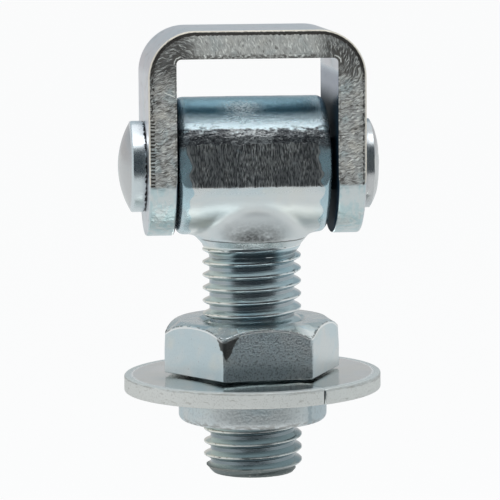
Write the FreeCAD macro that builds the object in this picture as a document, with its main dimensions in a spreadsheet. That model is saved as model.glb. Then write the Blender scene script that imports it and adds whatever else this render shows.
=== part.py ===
# Adjustable gate hinge, in millimetres.
#
# A flat bar bent to a U, the yoke, is welded to the post by the flat of its bridge. A riveted pin
# through its two ears carries a forged eye, whose threaded stud reaches down into a round weld-in
# bush. A plain split washer lies on the bush's shoulder, and a thin lock nut is run down on the bush.
#
# X runs along the pivot pin, Z up along the stud, and the front of the hinge faces -Y. The origin is
# the middle of the bridge's top face, which is the face that is welded on.
import FreeCAD
import Part
import Sketcher

import math
import os
import re

Vector = FreeCAD.Vector

# Driving sizes: each name, its value and what it measures. Lengths are in mm and angles in degrees.
SIZES = [
    ("strip_width", 21.4, "width of the yoke's flat bar, front to back"),
    ("strip_thickness", 4.3, "thickness of the yoke's flat bar"),
    ("bend_radius", 7.2, "outer radius of the yoke's two bends"),
    ("inner_bend_radius", 0.7, "inner radius of the yoke's two bends"),
    ("yoke_edge_round", 0.35, "rounding of the flat bar's long edges"),
    ("window_height", 6.25, "clear height between the eye and the bridge"),
    ("eye_land", 0.3, "straight part of the eye past the neck's blend, at its short end"),
    ("eye_shift", 0.3, "how far the eye lies to the left of the stud's line"),
    ("eye_shoulder", 1.9, "how much larger the eye's radius is than the neck's"),
    ("eye_end_round", 1.3, "rounding of the eye's two ends"),
    ("trim_depth", 0.68, "depth of the flat where the forging flash was trimmed"),
    ("side_play", 0.6, "mean gap between the eye and each ear"),
    ("neck_step", 1.05, "how much larger the neck's radius is than the thread's"),
    ("neck_drop", 0.4, "straight part of the neck below the eye"),
    ("neck_taper", 1.2, "length of the cone from the neck to the thread"),
    ("neck_blend", 1.0, "fillet between the eye and the neck"),
    ("pin_diameter", 8.0, "pivot pin's shank and the holes in the ears"),
    ("pin_play", 0.075, "radial running clearance of the eye on the pin"),
    ("bore_chamfer", 0.5, "chamfer at both mouths of the eye's bore"),
    ("head_diameter", 14.0, "pin's made head, on the left"),
    ("head_height", 4.0, "height of the made head"),
    ("head_dome_radius", 13.5, "radius of the made head's dome"),
    ("head_edge_round", 0.5, "rounding between the made head's rim and dome"),
    ("rivet_diameter", 13.9, "pin's riveted end, on the right"),
    ("rivet_height", 2.9, "height of the riveted end"),
    ("rivet_flat", 6.0, "diameter of the flat in the middle of the riveted end"),
    ("rivet_shoulder", 7.4, "radius of the curve round that flat"),
    ("thread_diameter", 15.3, "rolled M16 thread over its crests"),
    ("thread_play", 0.07, "radial clearance of the nut and the bush over the crests"),
    ("bare_thread", 11.65, "thread showing between the neck and the nut"),
    ("tip_projection", 8.2, "how far the stud stands out under the bush"),
    ("tip_chamfer", 1.35, "radial depth of the chamfer on the stud's tip"),
    ("tip_chamfer_length", 1.5, "length of that chamfer"),
    ("nut_wall", 4.28, "metal between the nut's bore and its flats"),
    ("nut_height", 8.0, "height of the thin lock nut"),
    ("nut_chamfer_angle", 30.0, "slope of the nut's top chamfer"),
    ("nut_crown_inset", 0.45, "how far the nut's top circle lies inside its flats"),
    ("nut_turn", 5.5, "how the nut is turned from a corner pointing along +X"),
    ("countersink", 0.7, "chamfer at the mouths of the nut and the bush"),
    ("bush_neck_wall", 2.28, "wall of the bush's neck, which the washer fits over"),
    ("bush_neck_proud", 0.25, "how far the bush's neck stands above the washer"),
    ("bush_shoulder", 1.5, "width of the shoulder under the washer"),
    ("bush_height", 5.0, "height of the bush below its shoulder"),
    ("bush_edge_round", 1.0, "rounding of the bush's lower edge"),
    ("washer_play", 0.08, "radial clearance of the washer on the bush's neck"),
    ("washer_width", 9.82, "width of the washer's ring"),
    ("washer_thickness", 2.5, "thickness of the washer"),
    ("washer_edge_round", 0.25, "rounding of the washer's outer edges"),
    ("washer_slit", 0.32, "width of the slit through the washer"),
    ("slit_direction", 297.0, "where the slit lies, anticlockwise from +X"),
    ("cut_margin", 1.0, "how far cutting shapes reach past what they cut"),
]

# Sizes and places that follow from the driving ones.
DERIVED = {
    "thread_radius": "thread_diameter / 2",
    "neck_radius": "thread_radius + neck_step",
    "eye_radius": "neck_radius + eye_shoulder",
    "eye_bore_radius": "pin_diameter / 2 + pin_play",
    "eye_length": "2 * (neck_radius + neck_blend + eye_land + eye_end_round + eye_shift)",
    "ear_inner": "eye_length / 2 + side_play",
    "ear_outer": "ear_inner + strip_thickness",
    "bridge_inner": "eye_radius + window_height",
    "bridge_outer": "bridge_inner + strip_thickness",
    "pivot_z": "-bridge_outer",
    "neck_end": "eye_radius + neck_drop",
    "thread_start": "neck_end + neck_taper",
    "nut_top": "thread_start + bare_thread",
    "nut_seat": "nut_top + nut_height",
    "washer_top": "nut_seat + bush_neck_proud",
    "washer_seat": "washer_top + washer_thickness",
    "bush_foot": "washer_seat + bush_height",
    "stud_end": "bush_foot + tip_projection",
    "threaded_bore": "thread_radius + thread_play",
    "nut_flat": "threaded_bore + nut_wall",
    "nut_corner": "nut_flat / cos(30 deg)",
    "bush_neck_radius": "threaded_bore + bush_neck_wall",
    "bush_radius": "bush_neck_radius + bush_shoulder",
    "washer_bore": "bush_neck_radius + washer_play",
    "washer_radius": "washer_bore + washer_width",
}

DRIVING = {name for name, value, note in SIZES}


def formula(text):
    """Return an expression on the sheet for a formula written in the names above."""

    def swap(match):
        word = match.group(0)
        if word in DERIVED:
            return "(" + formula(DERIVED[word]) + ")"
        if word in DRIVING:
            return "Sizes." + word
        return word

    return re.sub(r"[a-z_]+", swap, text)


def value(doc, text):
    """Return the number that a formula gives now."""
    result = doc.getObject("Sizes").evalExpression(formula(text))
    return float(getattr(result, "Value", result))


def bind(item, prop, text):
    """Tie one property of an object to a formula."""
    item.setExpression(prop, formula(text))


def make_sheet(doc):
    """Write the driving sizes into the document's spreadsheet."""
    sheet = doc.addObject("Spreadsheet::Sheet", "Sizes")
    for row, (name, number, note) in enumerate(SIZES, 1):
        sheet.set(f"A{row}", name)
        sheet.set(f"B{row}", str(number))
        sheet.set(f"C{row}", note)
        sheet.setAlias(f"B{row}", name)
    doc.recompute()


def new_body(doc, label, height="0", turn=None):
    """Add an empty body at a height above the origin, turned about Z."""
    body = doc.addObject("PartDesign::Body", label.title().replace("_", ""))
    body.Label = label
    body.Placement = FreeCAD.Placement(Vector(), FreeCAD.Rotation(Vector(0, 0, 1), 1))
    bind(body, "Placement.Base.z", height)
    bind(body, "Placement.Rotation.Angle", turn or "0")
    return body


def new_sketch(body, plane, name, offset=None):
    """Add a sketch on one of the body's origin planes, moved along that plane's normal."""
    sketch = body.newObject("Sketcher::SketchObject", name)
    support = next(item for item in body.Origin.OriginFeatures if item.Role == plane)
    sketch.AttachmentSupport = [(support, "")]
    sketch.MapMode = "FlatFace"
    if offset:
        bind(sketch, "AttachmentOffset.Base.z", offset)
    return sketch


def fix_point(sketch, geometry, end, point, name):
    """Hold one end of a sketch line at a pair of formulas measured from the sketch's origin."""
    for kind, axis, text in (("DistanceX", -2, point[0]), ("DistanceY", -1, point[1])):
        if text == "0":
            sketch.addConstraint(Sketcher.Constraint("PointOnObject", geometry, end, axis))
            continue
        number = value(sketch.Document, text)
        index = sketch.addConstraint(Sketcher.Constraint(kind, -1, 1, geometry, end, number))
        label = kind[-1].lower() + name
        sketch.renameConstraint(index, label)
        bind(sketch, "Constraints." + label, text)


def arc_between(start, end, radius, turn):
    """Return the arc from start to end, anticlockwise for turn 1 and clockwise for turn -1."""
    chord = end - start
    middle = (start + end) / 2
    rise = math.sqrt(max(radius**2 - (chord.Length / 2) ** 2, 0))
    side = Vector(-chord.y, chord.x, 0).normalize() * turn
    centre = middle + side * rise
    first, last = (start, end) if turn > 0 else (end, start)
    angles = [math.atan2(point.y - centre.y, point.x - centre.x) for point in (first, last)]
    circle = Part.Circle(centre, Vector(0, 0, 1), radius)
    return Part.ArcOfCircle(circle, angles[0], angles[1])


def draw_outline(sketch, points, bends=None):
    """Draw a closed outline whose corners are pairs of formulas.

    bends gives the sides that are arcs: side number, counted from 0, to (radius, turn).
    """
    bends = bends or {}
    doc = sketch.Document
    places = [Vector(value(doc, x), value(doc, y), 0) for x, y in points]
    count = len(points)
    ends = []
    for side in range(count):
        start, end = places[side], places[(side + 1) % count]
        if side in bends:
            radius, turn = bends[side]
            index = sketch.addGeometry(arc_between(start, end, value(doc, radius), turn), False)
            ends.append((index, 1, 2) if turn > 0 else (index, 2, 1))
        else:
            index = sketch.addGeometry(Part.LineSegment(start, end), False)
            ends.append((index, 1, 2))
    for side in range(count):
        index, first, last = ends[side]
        following, following_first, following_last = ends[(side + 1) % count]
        joint = Sketcher.Constraint("Coincident", index, last, following, following_first)
        sketch.addConstraint(joint)
    for side in range(count):
        index, first, last = ends[side]
        fix_point(sketch, index, first, points[side], str(side))
        if side in bends:
            radius = bends[side][0]
            constraint = Sketcher.Constraint("Radius", index, value(doc, radius))
            number = sketch.addConstraint(constraint)
            sketch.renameConstraint(number, f"radius{side}")
            bind(sketch, f"Constraints.radius{side}", radius)


def draw_circle(sketch, radius):
    """Draw a circle about the sketch's origin."""
    start = Part.Circle(Vector(), Vector(0, 0, 1), value(sketch.Document, radius))
    index = sketch.addGeometry(start, False)
    sketch.addConstraint(Sketcher.Constraint("Coincident", index, 3, -1, 1))
    number = sketch.addConstraint(
        Sketcher.Constraint("Radius", index, value(sketch.Document, radius))
    )
    sketch.renameConstraint(number, "radius")
    bind(sketch, "Constraints.radius", radius)


def pad(body, sketch, name, length, centred=True):
    """Pad a sketch by a length, to both sides of it or along its normal."""
    feature = body.newObject("PartDesign::Pad", name)
    feature.Profile = sketch
    feature.SideType = "Symmetric" if centred else "One side"
    bind(feature, "Length", length)
    return feature


def pocket(body, sketch, name, length, centred=True, reverse=False):
    """Cut a sketch through the body for a length, and make sure that it took metal away."""
    before = body.Tip.Shape.Volume
    feature = body.newObject("PartDesign::Pocket", name)
    feature.Profile = sketch
    feature.SideType = "Symmetric" if centred else "One side"
    feature.Reversed = reverse
    bind(feature, "Length", length)
    body.Document.recompute()
    if feature.Shape.Volume >= before:
        raise ValueError(f"{name} cuts nothing")
    return feature


def turned(body, sketch, name, axis="V_Axis", kind="Revolution"):
    """Turn a sketch a full circle about one of its axes, adding metal or cutting a groove."""
    before = body.Tip.Shape.Volume if body.Tip and kind == "Groove" else None
    feature = body.newObject("PartDesign::" + kind, name)
    feature.Profile = sketch
    feature.ReferenceAxis = (sketch, [axis])
    feature.Angle = 360
    body.Document.recompute()
    if before is not None and feature.Shape.Volume >= before:
        raise ValueError(f"{name} cuts nothing")
    return feature


def dress(body, kind, name, size, wanted):
    """Fillet or chamfer the edges of the body so far that a test picks out."""
    base = body.Tip
    edges = [f"Edge{n}" for n, edge in enumerate(base.Shape.Edges, 1) if wanted(edge)]
    if not edges:
        raise ValueError(f"{name} finds no edge")
    feature = body.newObject("PartDesign::" + kind, name)
    feature.Base = (base, edges)
    bind(feature, "Radius" if kind == "Fillet" else "Size", size)
    body.Document.recompute()
    return feature


def near(first, second):
    """Say whether two lengths are the same."""
    return abs(first - second) < 1e-4


def flat_in(edge, axis, place):
    """Say whether the whole edge lies at one place along an axis, 0 for X, 1 for Y, 2 for Z."""
    box = edge.BoundBox
    low = (box.XMin, box.YMin, box.ZMin)[axis]
    high = (box.XMax, box.YMax, box.ZMax)[axis]
    return abs(low - place) < 1e-3 and abs(high - place) < 1e-3


def is_round(edge, radius):
    """Say whether the edge is part of a circle of this radius."""
    return isinstance(edge.Curve, Part.Circle) and near(edge.Curve.Radius, radius)


def make_yoke(doc):
    """Bend the flat bar to a U, round its ear ends about the pin and drill both ears."""
    body = new_body(doc, "yoke", "pivot_z")

    section = new_sketch(body, "XZ_Plane", "YokeSection")
    ear_end = "-strip_width / 2"
    draw_outline(
        section,
        [
            ("-ear_outer", ear_end),
            ("-ear_inner", ear_end),
            ("-ear_inner", "bridge_inner - inner_bend_radius"),
            ("-ear_inner + inner_bend_radius", "bridge_inner"),
            ("ear_inner - inner_bend_radius", "bridge_inner"),
            ("ear_inner", "bridge_inner - inner_bend_radius"),
            ("ear_inner", ear_end),
            ("ear_outer", ear_end),
            ("ear_outer", "bridge_outer - bend_radius"),
            ("ear_outer - bend_radius", "bridge_outer"),
            ("-ear_outer + bend_radius", "bridge_outer"),
            ("-ear_outer", "bridge_outer - bend_radius"),
        ],
        {
            2: ("inner_bend_radius", -1),
            4: ("inner_bend_radius", -1),
            8: ("bend_radius", 1),
            10: ("bend_radius", 1),
        },
    )
    pad(body, section, "BentBar", "strip_width")
    doc.recompute()

    ends = new_sketch(body, "YZ_Plane", "EarEnds")
    half = "strip_width / 2"
    past = "(strip_width / 2 + cut_margin)"
    draw_outline(
        ends,
        [
            ("-" + half, "0"),
            ("0", "-" + half),
            (half, "0"),
            (past, "0"),
            (past, "-" + past),
            ("-" + past, "-" + past),
            ("-" + past, "0"),
        ],
        {0: (half, 1), 1: (half, 1)},
    )
    pocket(body, ends, "RoundEars", "2 * (ear_outer + cut_margin)")

    hole = new_sketch(body, "YZ_Plane", "PinHole")
    draw_circle(hole, "pin_diameter / 2")
    pocket(body, hole, "PinHoles", "2 * (ear_outer + cut_margin)")

    side = value(doc, half)

    def long_edge(edge):
        if flat_in(edge, 1, -side) or flat_in(edge, 1, side):
            return not flat_in(edge, 2, 0)
        return is_round(edge, side)

    dress(body, "Fillet", "SoftEdges", "yoke_edge_round", long_edge)
    return body


def make_pin(doc):
    """Turn the pivot pin: a domed head on the left, a shank, and the riveted end on the right."""
    body = new_body(doc, "pivot_pin", "pivot_z")
    profile = new_sketch(body, "XZ_Plane", "PinProfile")
    rim = "(head_height - head_dome_radius + sqrt(head_dome_radius ^ 2 - (head_diameter / 2) ^ 2))"
    reach = "(rivet_diameter - rivet_flat) / 2"
    fall = f"(rivet_shoulder - sqrt(rivet_shoulder ^ 2 - ({reach}) ^ 2))"
    draw_outline(
        profile,
        [
            ("-ear_outer - head_height", "0"),
            ("ear_outer + rivet_height", "0"),
            ("ear_outer + rivet_height", "rivet_flat / 2"),
            (f"ear_outer + rivet_height - {fall}", "rivet_diameter / 2"),
            ("ear_outer", "rivet_diameter / 2"),
            ("ear_outer", "pin_diameter / 2"),
            ("-ear_outer", "pin_diameter / 2"),
            ("-ear_outer", "head_diameter / 2"),
            (f"-ear_outer - {rim}", "head_diameter / 2"),
        ],
        {2: ("rivet_shoulder", 1), 8: ("head_dome_radius", 1)},
    )
    turned(body, profile, "Pin", "H_Axis")

    dome_edge = -value(doc, f"ear_outer + {rim}")
    dress(
        body, "Fillet", "HeadEdge", "head_edge_round", lambda edge: flat_in(edge, 0, dome_edge)
    )
    return body


def make_eye_stud(doc):
    """Forge the eye with its neck and stud, trim the flash, bore the eye and point the stud."""
    body = new_body(doc, "eye_stud", "pivot_z")

    barrel = new_sketch(body, "YZ_Plane", "EyeSection", "-eye_shift")
    draw_circle(barrel, "eye_radius")
    pad(body, barrel, "Eye", "eye_length")
    doc.recompute()
    radius = value(doc, "eye_radius")
    dress(body, "Fillet", "EyeEnds", "eye_end_round", lambda edge: is_round(edge, radius))

    for name, sign in (("FrontFlat", "-"), ("BackFlat", "")):
        trim = new_sketch(body, "YZ_Plane", name + "Section")
        near_side = f"{sign}(eye_radius - trim_depth)"
        far_side = f"{sign}(eye_radius + cut_margin)"
        height = "(eye_radius + cut_margin)"
        draw_outline(
            trim,
            [
                (near_side, "-" + height),
                (far_side, "-" + height),
                (far_side, height),
                (near_side, height),
            ],
        )
        pocket(body, trim, name, "eye_length + 2 * (eye_shift + cut_margin)")

    stud = new_sketch(body, "XZ_Plane", "StudProfile")
    draw_outline(
        stud,
        [
            ("0", "0"),
            ("0", "-stud_end"),
            ("thread_radius - tip_chamfer", "-stud_end"),
            ("thread_radius", "-stud_end + tip_chamfer_length"),
            ("thread_radius", "-thread_start"),
            ("neck_radius", "-neck_end"),
            ("neck_radius", "0"),
        ],
    )
    turned(body, stud, "Stud")

    neck = value(doc, "neck_radius")

    def neck_joint(edge):
        middle = edge.valueAt((edge.FirstParameter + edge.LastParameter) / 2)
        on_neck = near(math.hypot(middle.x, middle.y), neck)
        return on_neck and not isinstance(edge.Curve, (Part.Line, Part.Circle))

    dress(body, "Fillet", "NeckBlend", "neck_blend", neck_joint)

    bore = new_sketch(body, "YZ_Plane", "EyeBoreSection", "-eye_shift")
    draw_circle(bore, "eye_bore_radius")
    pocket(body, bore, "EyeBore", "eye_length + 2 * cut_margin")
    bore_radius = value(doc, "eye_bore_radius")
    dress(body, "Chamfer", "EyeMouths", "bore_chamfer", lambda edge: is_round(edge, bore_radius))
    return body


def make_lock_nut(doc):
    """Make the thin hexagon nut, crowned on top and flat underneath."""
    body = new_body(doc, "lock_nut", "pivot_z - nut_seat", "nut_turn")

    hexagon = new_sketch(body, "XY_Plane", "Hexagon")
    corners = [
        (f"nut_corner * cos({60 * k} deg)", f"nut_corner * sin({60 * k} deg)") for k in range(6)
    ]
    corners[0] = ("nut_corner", "0")
    corners[3] = ("-nut_corner", "0")
    draw_outline(hexagon, corners)
    pad(body, hexagon, "NutBlank", "nut_height", centred=False)
    doc.recompute()

    crown = new_sketch(body, "XZ_Plane", "CrownSection")
    circle = "(nut_flat - nut_crown_inset)"
    past = "(nut_corner + cut_margin)"
    draw_outline(
        crown,
        [
            (circle, "nut_height"),
            (past, f"nut_height - ({past} - {circle}) * tan(nut_chamfer_angle * 1 deg)"),
            (past, "nut_height"),
        ],
    )
    turned(body, crown, "Crown", kind="Groove")

    bore = new_sketch(body, "XY_Plane", "NutBoreSection")
    draw_circle(bore, "threaded_bore")
    pocket(body, bore, "NutBore", "2 * (nut_height + cut_margin)")
    radius = value(doc, "threaded_bore")
    dress(body, "Chamfer", "NutMouths", "countersink", lambda edge: is_round(edge, radius))
    return body


def make_split_washer(doc):
    """Cut the large washer and the slit through one side of its ring."""
    body = new_body(doc, "split_washer", "pivot_z - washer_seat", "slit_direction")

    ring = new_sketch(body, "XY_Plane", "WasherSection")
    draw_circle(ring, "washer_radius")
    pad(body, ring, "WasherBlank", "washer_thickness", centred=False)
    doc.recompute()
    radius = value(doc, "washer_radius")
    dress(body, "Fillet", "WasherEdges", "washer_edge_round", lambda edge: is_round(edge, radius))

    bore = new_sketch(body, "XY_Plane", "WasherBoreSection")
    draw_circle(bore, "washer_bore")
    pocket(body, bore, "WasherBore", "2 * (washer_thickness + cut_margin)")

    slit = new_sketch(body, "XY_Plane", "SlitSection")
    half = "washer_slit / 2"
    past = "washer_radius + cut_margin"
    draw_outline(
        slit,
        [("0", "-" + half), (past, "-" + half), (past, half), ("0", half)],
    )
    pocket(body, slit, "Slit", "2 * (washer_thickness + cut_margin)")
    return body


def make_threaded_bush(doc):
    """Turn the weld-in bush: a round body, a shoulder, and the neck that centres the washer."""
    body = new_body(doc, "threaded_bush", "pivot_z - nut_seat")

    profile = new_sketch(body, "XZ_Plane", "BushProfile")
    neck_height = "bush_neck_proud + washer_thickness"
    foot = f"-({neck_height} + bush_height)"
    draw_outline(
        profile,
        [
            ("threaded_bore", "-countersink"),
            ("threaded_bore", f"{foot} + countersink"),
            ("threaded_bore + countersink", foot),
            ("bush_radius - bush_edge_round", foot),
            ("bush_radius", f"{foot} + bush_edge_round"),
            ("bush_radius", f"-({neck_height})"),
            ("bush_neck_radius", f"-({neck_height})"),
            ("bush_neck_radius", "0"),
            ("threaded_bore + countersink", "0"),
        ],
        {3: ("bush_edge_round", 1)},
    )
    turned(body, profile, "Bush")
    return body


def check(doc, bodies):
    """Stop if any object of the document failed or any piece isn't one sound solid."""
    for item in doc.Objects:
        if {"Invalid", "Error"} & set(item.State):
            raise ValueError(f"{item.Name} failed: {item.State}")
    for body in bodies:
        shape = body.Shape
        if shape.isNull() or not shape.isValid() or len(shape.Solids) != 1:
            raise ValueError(f"{body.Label} is not one sound solid")


def main():
    """Build every piece, check them and write one STEP file for each."""
    doc = FreeCAD.newDocument("GateHinge")
    make_sheet(doc)
    makers = [
        make_yoke,
        make_pin,
        make_eye_stud,
        make_lock_nut,
        make_split_washer,
        make_threaded_bush,
    ]
    bodies = [make(doc) for make in makers]
    doc.recompute()
    check(doc, bodies)
    os.makedirs("parts", exist_ok=True)
    for body in bodies:
        body.Shape.exportStep(f"parts/{body.Label}.step")
        box = body.Shape.BoundBox
        print(f"{body.Label}: {body.Shape.Volume:.1f} mm3, z {box.ZMin:.2f} to {box.ZMax:.2f}")


main()
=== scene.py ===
"""Adjustable gate hinge: the looks of its six pieces, the studio round it and the camera.

Lengths are in mm while a piece is shaped, in the frame of the solids: X along the pivot pin, Z up
along the stud, the front of the hinge towards -Y. A finished mesh is scaled to metres.
"""

import logging
import math
from dataclasses import dataclass
from enum import Enum
from typing import Sequence

import bmesh
import bpy
from mathutils import Matrix, Vector, noise


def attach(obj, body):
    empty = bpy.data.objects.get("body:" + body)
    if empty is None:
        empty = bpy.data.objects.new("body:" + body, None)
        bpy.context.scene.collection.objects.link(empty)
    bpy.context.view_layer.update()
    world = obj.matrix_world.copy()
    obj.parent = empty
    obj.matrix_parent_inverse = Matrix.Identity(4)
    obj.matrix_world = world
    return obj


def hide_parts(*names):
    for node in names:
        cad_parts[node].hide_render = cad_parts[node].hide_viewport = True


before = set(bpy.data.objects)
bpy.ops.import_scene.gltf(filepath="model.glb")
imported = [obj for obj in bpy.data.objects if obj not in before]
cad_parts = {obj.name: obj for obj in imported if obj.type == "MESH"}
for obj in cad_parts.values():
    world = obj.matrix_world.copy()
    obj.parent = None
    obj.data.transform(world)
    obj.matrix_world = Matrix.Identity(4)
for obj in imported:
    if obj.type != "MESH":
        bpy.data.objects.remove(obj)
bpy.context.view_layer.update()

log = logging.getLogger("gate_hinge")

MM = 0.001
PIVOT = Vector((0.0, 0.0, -21.15))
Colour = tuple[float, float, float]


class Axis(Enum):
    """The line a profile is turned about."""

    PIN = (1.0, 0.0, 0.0)
    STUD = (0.0, 0.0, 1.0)


# Shaping


def ease(low: float, high: float, value: float) -> float:
    """Rise smoothly from 0 at low to 1 at high.

    Args:
        low: Where the rise starts.
        high: Where it ends; it may lie below low.
        value: The place on the way.

    Returns:
        A share from 0 to 1.
    """
    share = min(max((value - low) / (high - low), 0.0), 1.0)
    return share * share * (3 - 2 * share)


def ripple(place: Vector, size: float, stretch: Sequence[float] = (1, 1, 1)) -> float:
    """Give smooth noise from about -1 to 1.

    Args:
        place: The point, in mm.
        size: The size of one hump, in mm.
        stretch: How much longer the humps are along each axis.

    Returns:
        The noise at that point.
    """
    scaled = Vector([part / (size * long) for part, long in zip(place, stretch)])
    return noise.noise(scaled)


def arc(centre: Sequence[float], radius: float, start: float, end: float, count: int) -> list:
    """List points on an arc in the plane of a profile.

    Args:
        centre: The arc's centre, along and across.
        radius: Its radius.
        start: The first point's angle in degrees.
        end: The last point's angle.
        count: How many points.

    Returns:
        The points as (along, across).
    """
    angles = [math.radians(start + (end - start) * n / (count - 1)) for n in range(count)]
    return [
        (centre[0] + radius * math.cos(angle), centre[1] + radius * math.sin(angle))
        for angle in angles
    ]


def draw(bm: bmesh.types.BMesh, points: Sequence[Vector], closed: bool = False) -> list:
    """Add a chain of edges.

    Args:
        bm: The mesh to add to.
        points: Its points in order.
        closed: Whether the last point joins the first.

    Returns:
        The vertices and edges added.
    """
    verts = [bm.verts.new(point) for point in points]
    ends = verts[1:] + verts[:1] if closed else verts[1:]
    edges = [bm.edges.new(pair) for pair in zip(verts, ends)]
    return verts + edges


def turned(
    profile: Sequence[Sequence[float]],
    axis: Axis,
    steps: int,
    angle: float = 360.0,
) -> bmesh.types.BMesh:
    """Turn a closed profile about an axis through the origin.

    Args:
        profile: Its points, as distance along the axis and from it.
        axis: The line to turn about.
        steps: How many steps the turn has.
        angle: How far it turns, in degrees.

    Returns:
        A mesh whose seam is closed for a full turn, and open at both ends for less.
    """
    bm = bmesh.new()
    if axis is Axis.PIN:
        points = [Vector((along, -radius, 0)) for along, radius in profile]
    else:
        points = [Vector((radius, 0, along)) for along, radius in profile]
    bmesh.ops.spin(
        bm,
        geom=draw(bm, points, closed=True),
        cent=(0, 0, 0),
        axis=axis.value,
        angle=math.radians(angle),
        steps=steps,
        use_merge=angle == 360.0,
    )
    return bm


def tidy(bm: bmesh.types.BMesh, weld: float = 1e-4) -> bmesh.types.BMesh:
    """Weld a mesh's doubles and point its faces outwards.

    Args:
        bm: The mesh.
        weld: The distance under which two vertices become one, in mm.

    Returns:
        The same mesh.
    """
    bmesh.ops.remove_doubles(bm, verts=bm.verts, dist=weld)
    bmesh.ops.dissolve_degenerate(bm, edges=bm.edges, dist=weld)
    bmesh.ops.recalc_face_normals(bm, faces=bm.faces)
    return bm


def sliced(bm: bmesh.types.BMesh, place: Sequence[float], normal: Sequence[float]) -> list:
    """Cut away what lies beyond a plane.

    Args:
        bm: The mesh to cut.
        place: A point of the plane, in mm.
        normal: The way the cut side faces.

    Returns:
        The edges of the cut.
    """
    cut = bmesh.ops.bisect_plane(
        bm,
        geom=[*bm.verts, *bm.edges, *bm.faces],
        plane_co=place,
        plane_no=normal,
        clear_outer=True,
    )
    return [item for item in cut["geom_cut"] if isinstance(item, bmesh.types.BMEdge)]


def to_object(bm: bmesh.types.BMesh, name: str) -> bpy.types.Object:
    """Make an object of a mesh and free the mesh.

    Args:
        bm: The mesh.
        name: The name of the object and its data.

    Returns:
        The object, in the scene.
    """
    mesh = bpy.data.meshes.new(name)
    bm.to_mesh(mesh)
    bm.free()
    item = bpy.data.objects.new(name, mesh)
    bpy.context.scene.collection.objects.link(item)
    return item


def applied(item: bpy.types.Object) -> bmesh.types.BMesh:
    """Apply an object's modifiers and remove the object.

    Args:
        item: The object.

    Returns:
        Its mesh, for more shaping.
    """
    bpy.context.view_layer.update()
    shown = item.evaluated_get(bpy.context.evaluated_depsgraph_get())
    bm = bmesh.new()
    bm.from_mesh(shown.to_mesh())
    shown.to_mesh_clear()
    bpy.data.objects.remove(item)
    return bm


def combined(
    first: bmesh.types.BMesh, second: bmesh.types.BMesh, operation: str
) -> bmesh.types.BMesh:
    """Join two closed meshes, or cut the second out of the first.

    Args:
        first: The mesh that is kept.
        second: The mesh that is added or taken away.
        operation: UNION or DIFFERENCE.

    Returns:
        The new mesh.
    """
    tool = to_object(second, "tool")
    item = to_object(first, "work")
    modifier = item.modifiers.new("join", "BOOLEAN")
    modifier.operation = operation
    modifier.solver = "EXACT"
    modifier.object = tool
    result = applied(item)
    bpy.data.objects.remove(tool)
    return result


# Shader maths


class Value:
    """A socket's value: arithmetic on it adds the Math nodes it needs."""

    def __init__(self, graph: "Graph", socket: bpy.types.NodeSocket) -> None:
        """Wrap one output socket of a graph."""
        self.graph = graph
        self.socket = socket

    def _math(self, operation: str, first: object, second: object = 0.0) -> "Value":
        """Add one Math node on two values."""
        settings = {"operation": operation}
        return self.graph.add("ShaderNodeMath", settings, {0: first, 1: second})

    def __add__(self, other: object) -> "Value":
        """Add a value or a number."""
        return self._math("ADD", self, other)

    __radd__ = __add__

    def __sub__(self, other: object) -> "Value":
        """Take a value or a number away."""
        return self._math("SUBTRACT", self, other)

    def __rsub__(self, other: object) -> "Value":
        """Take this value away from a number."""
        return self._math("SUBTRACT", other, self)

    def __mul__(self, other: object) -> "Value":
        """Multiply by a value or a number."""
        return self._math("MULTIPLY", self, other)

    __rmul__ = __mul__

    def __pow__(self, other: float) -> "Value":
        """Raise to a power."""
        return self._math("POWER", self, other)

    def __abs__(self) -> "Value":
        """Drop the sign."""
        return self._math("ABSOLUTE", self)

    def sine(self) -> "Value":
        """Take the sine of an angle in radians."""
        return self._math("SINE", self)

    def rise(self, low: float, high: float) -> "Value":
        """Rise smoothly from 0 at low to 1 at high, or fall where high lies below low.

        Args:
            low: The value that gives 0.
            high: The value that gives 1.

        Returns:
            A share from 0 to 1.
        """
        if low > high:
            return 1.0 - self.rise(high, low)
        settings = {"interpolation_type": "SMOOTHSTEP"}
        return self.graph.add(
            "ShaderNodeMapRange", settings, {"Value": self, "From Min": low, "From Max": high}
        )

    def band(self, low: float, high: float, soft: float) -> "Value":
        """Give 1 between two values and 0 outside, with a soft edge."""
        return self.rise(low - soft, low + soft) * self.rise(high + soft, high - soft)

    def part(self, number: int) -> "Value":
        """Give one coordinate of a vector: 0 for X, 1 for Y, 2 for Z."""
        return self.graph.add("ShaderNodeSeparateXYZ", {}, {0: self}, number)

    def girth(self) -> "Value":
        """Give a place's distance from the stud's axis."""
        return (self.part(0) ** 2 + self.part(1) ** 2) ** 0.5

    def stretched(self, factors: Sequence[float]) -> "Value":
        """Multiply a vector by three factors."""
        settings = {"operation": "MULTIPLY"}
        return self.graph.add("ShaderNodeVectorMath", settings, {0: self, 1: tuple(factors)})

    def moved(self, offset: object) -> "Value":
        """Add three numbers or a vector to a vector."""
        return self.graph.add("ShaderNodeVectorMath", {"operation": "ADD"}, {0: self, 1: offset})


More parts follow.
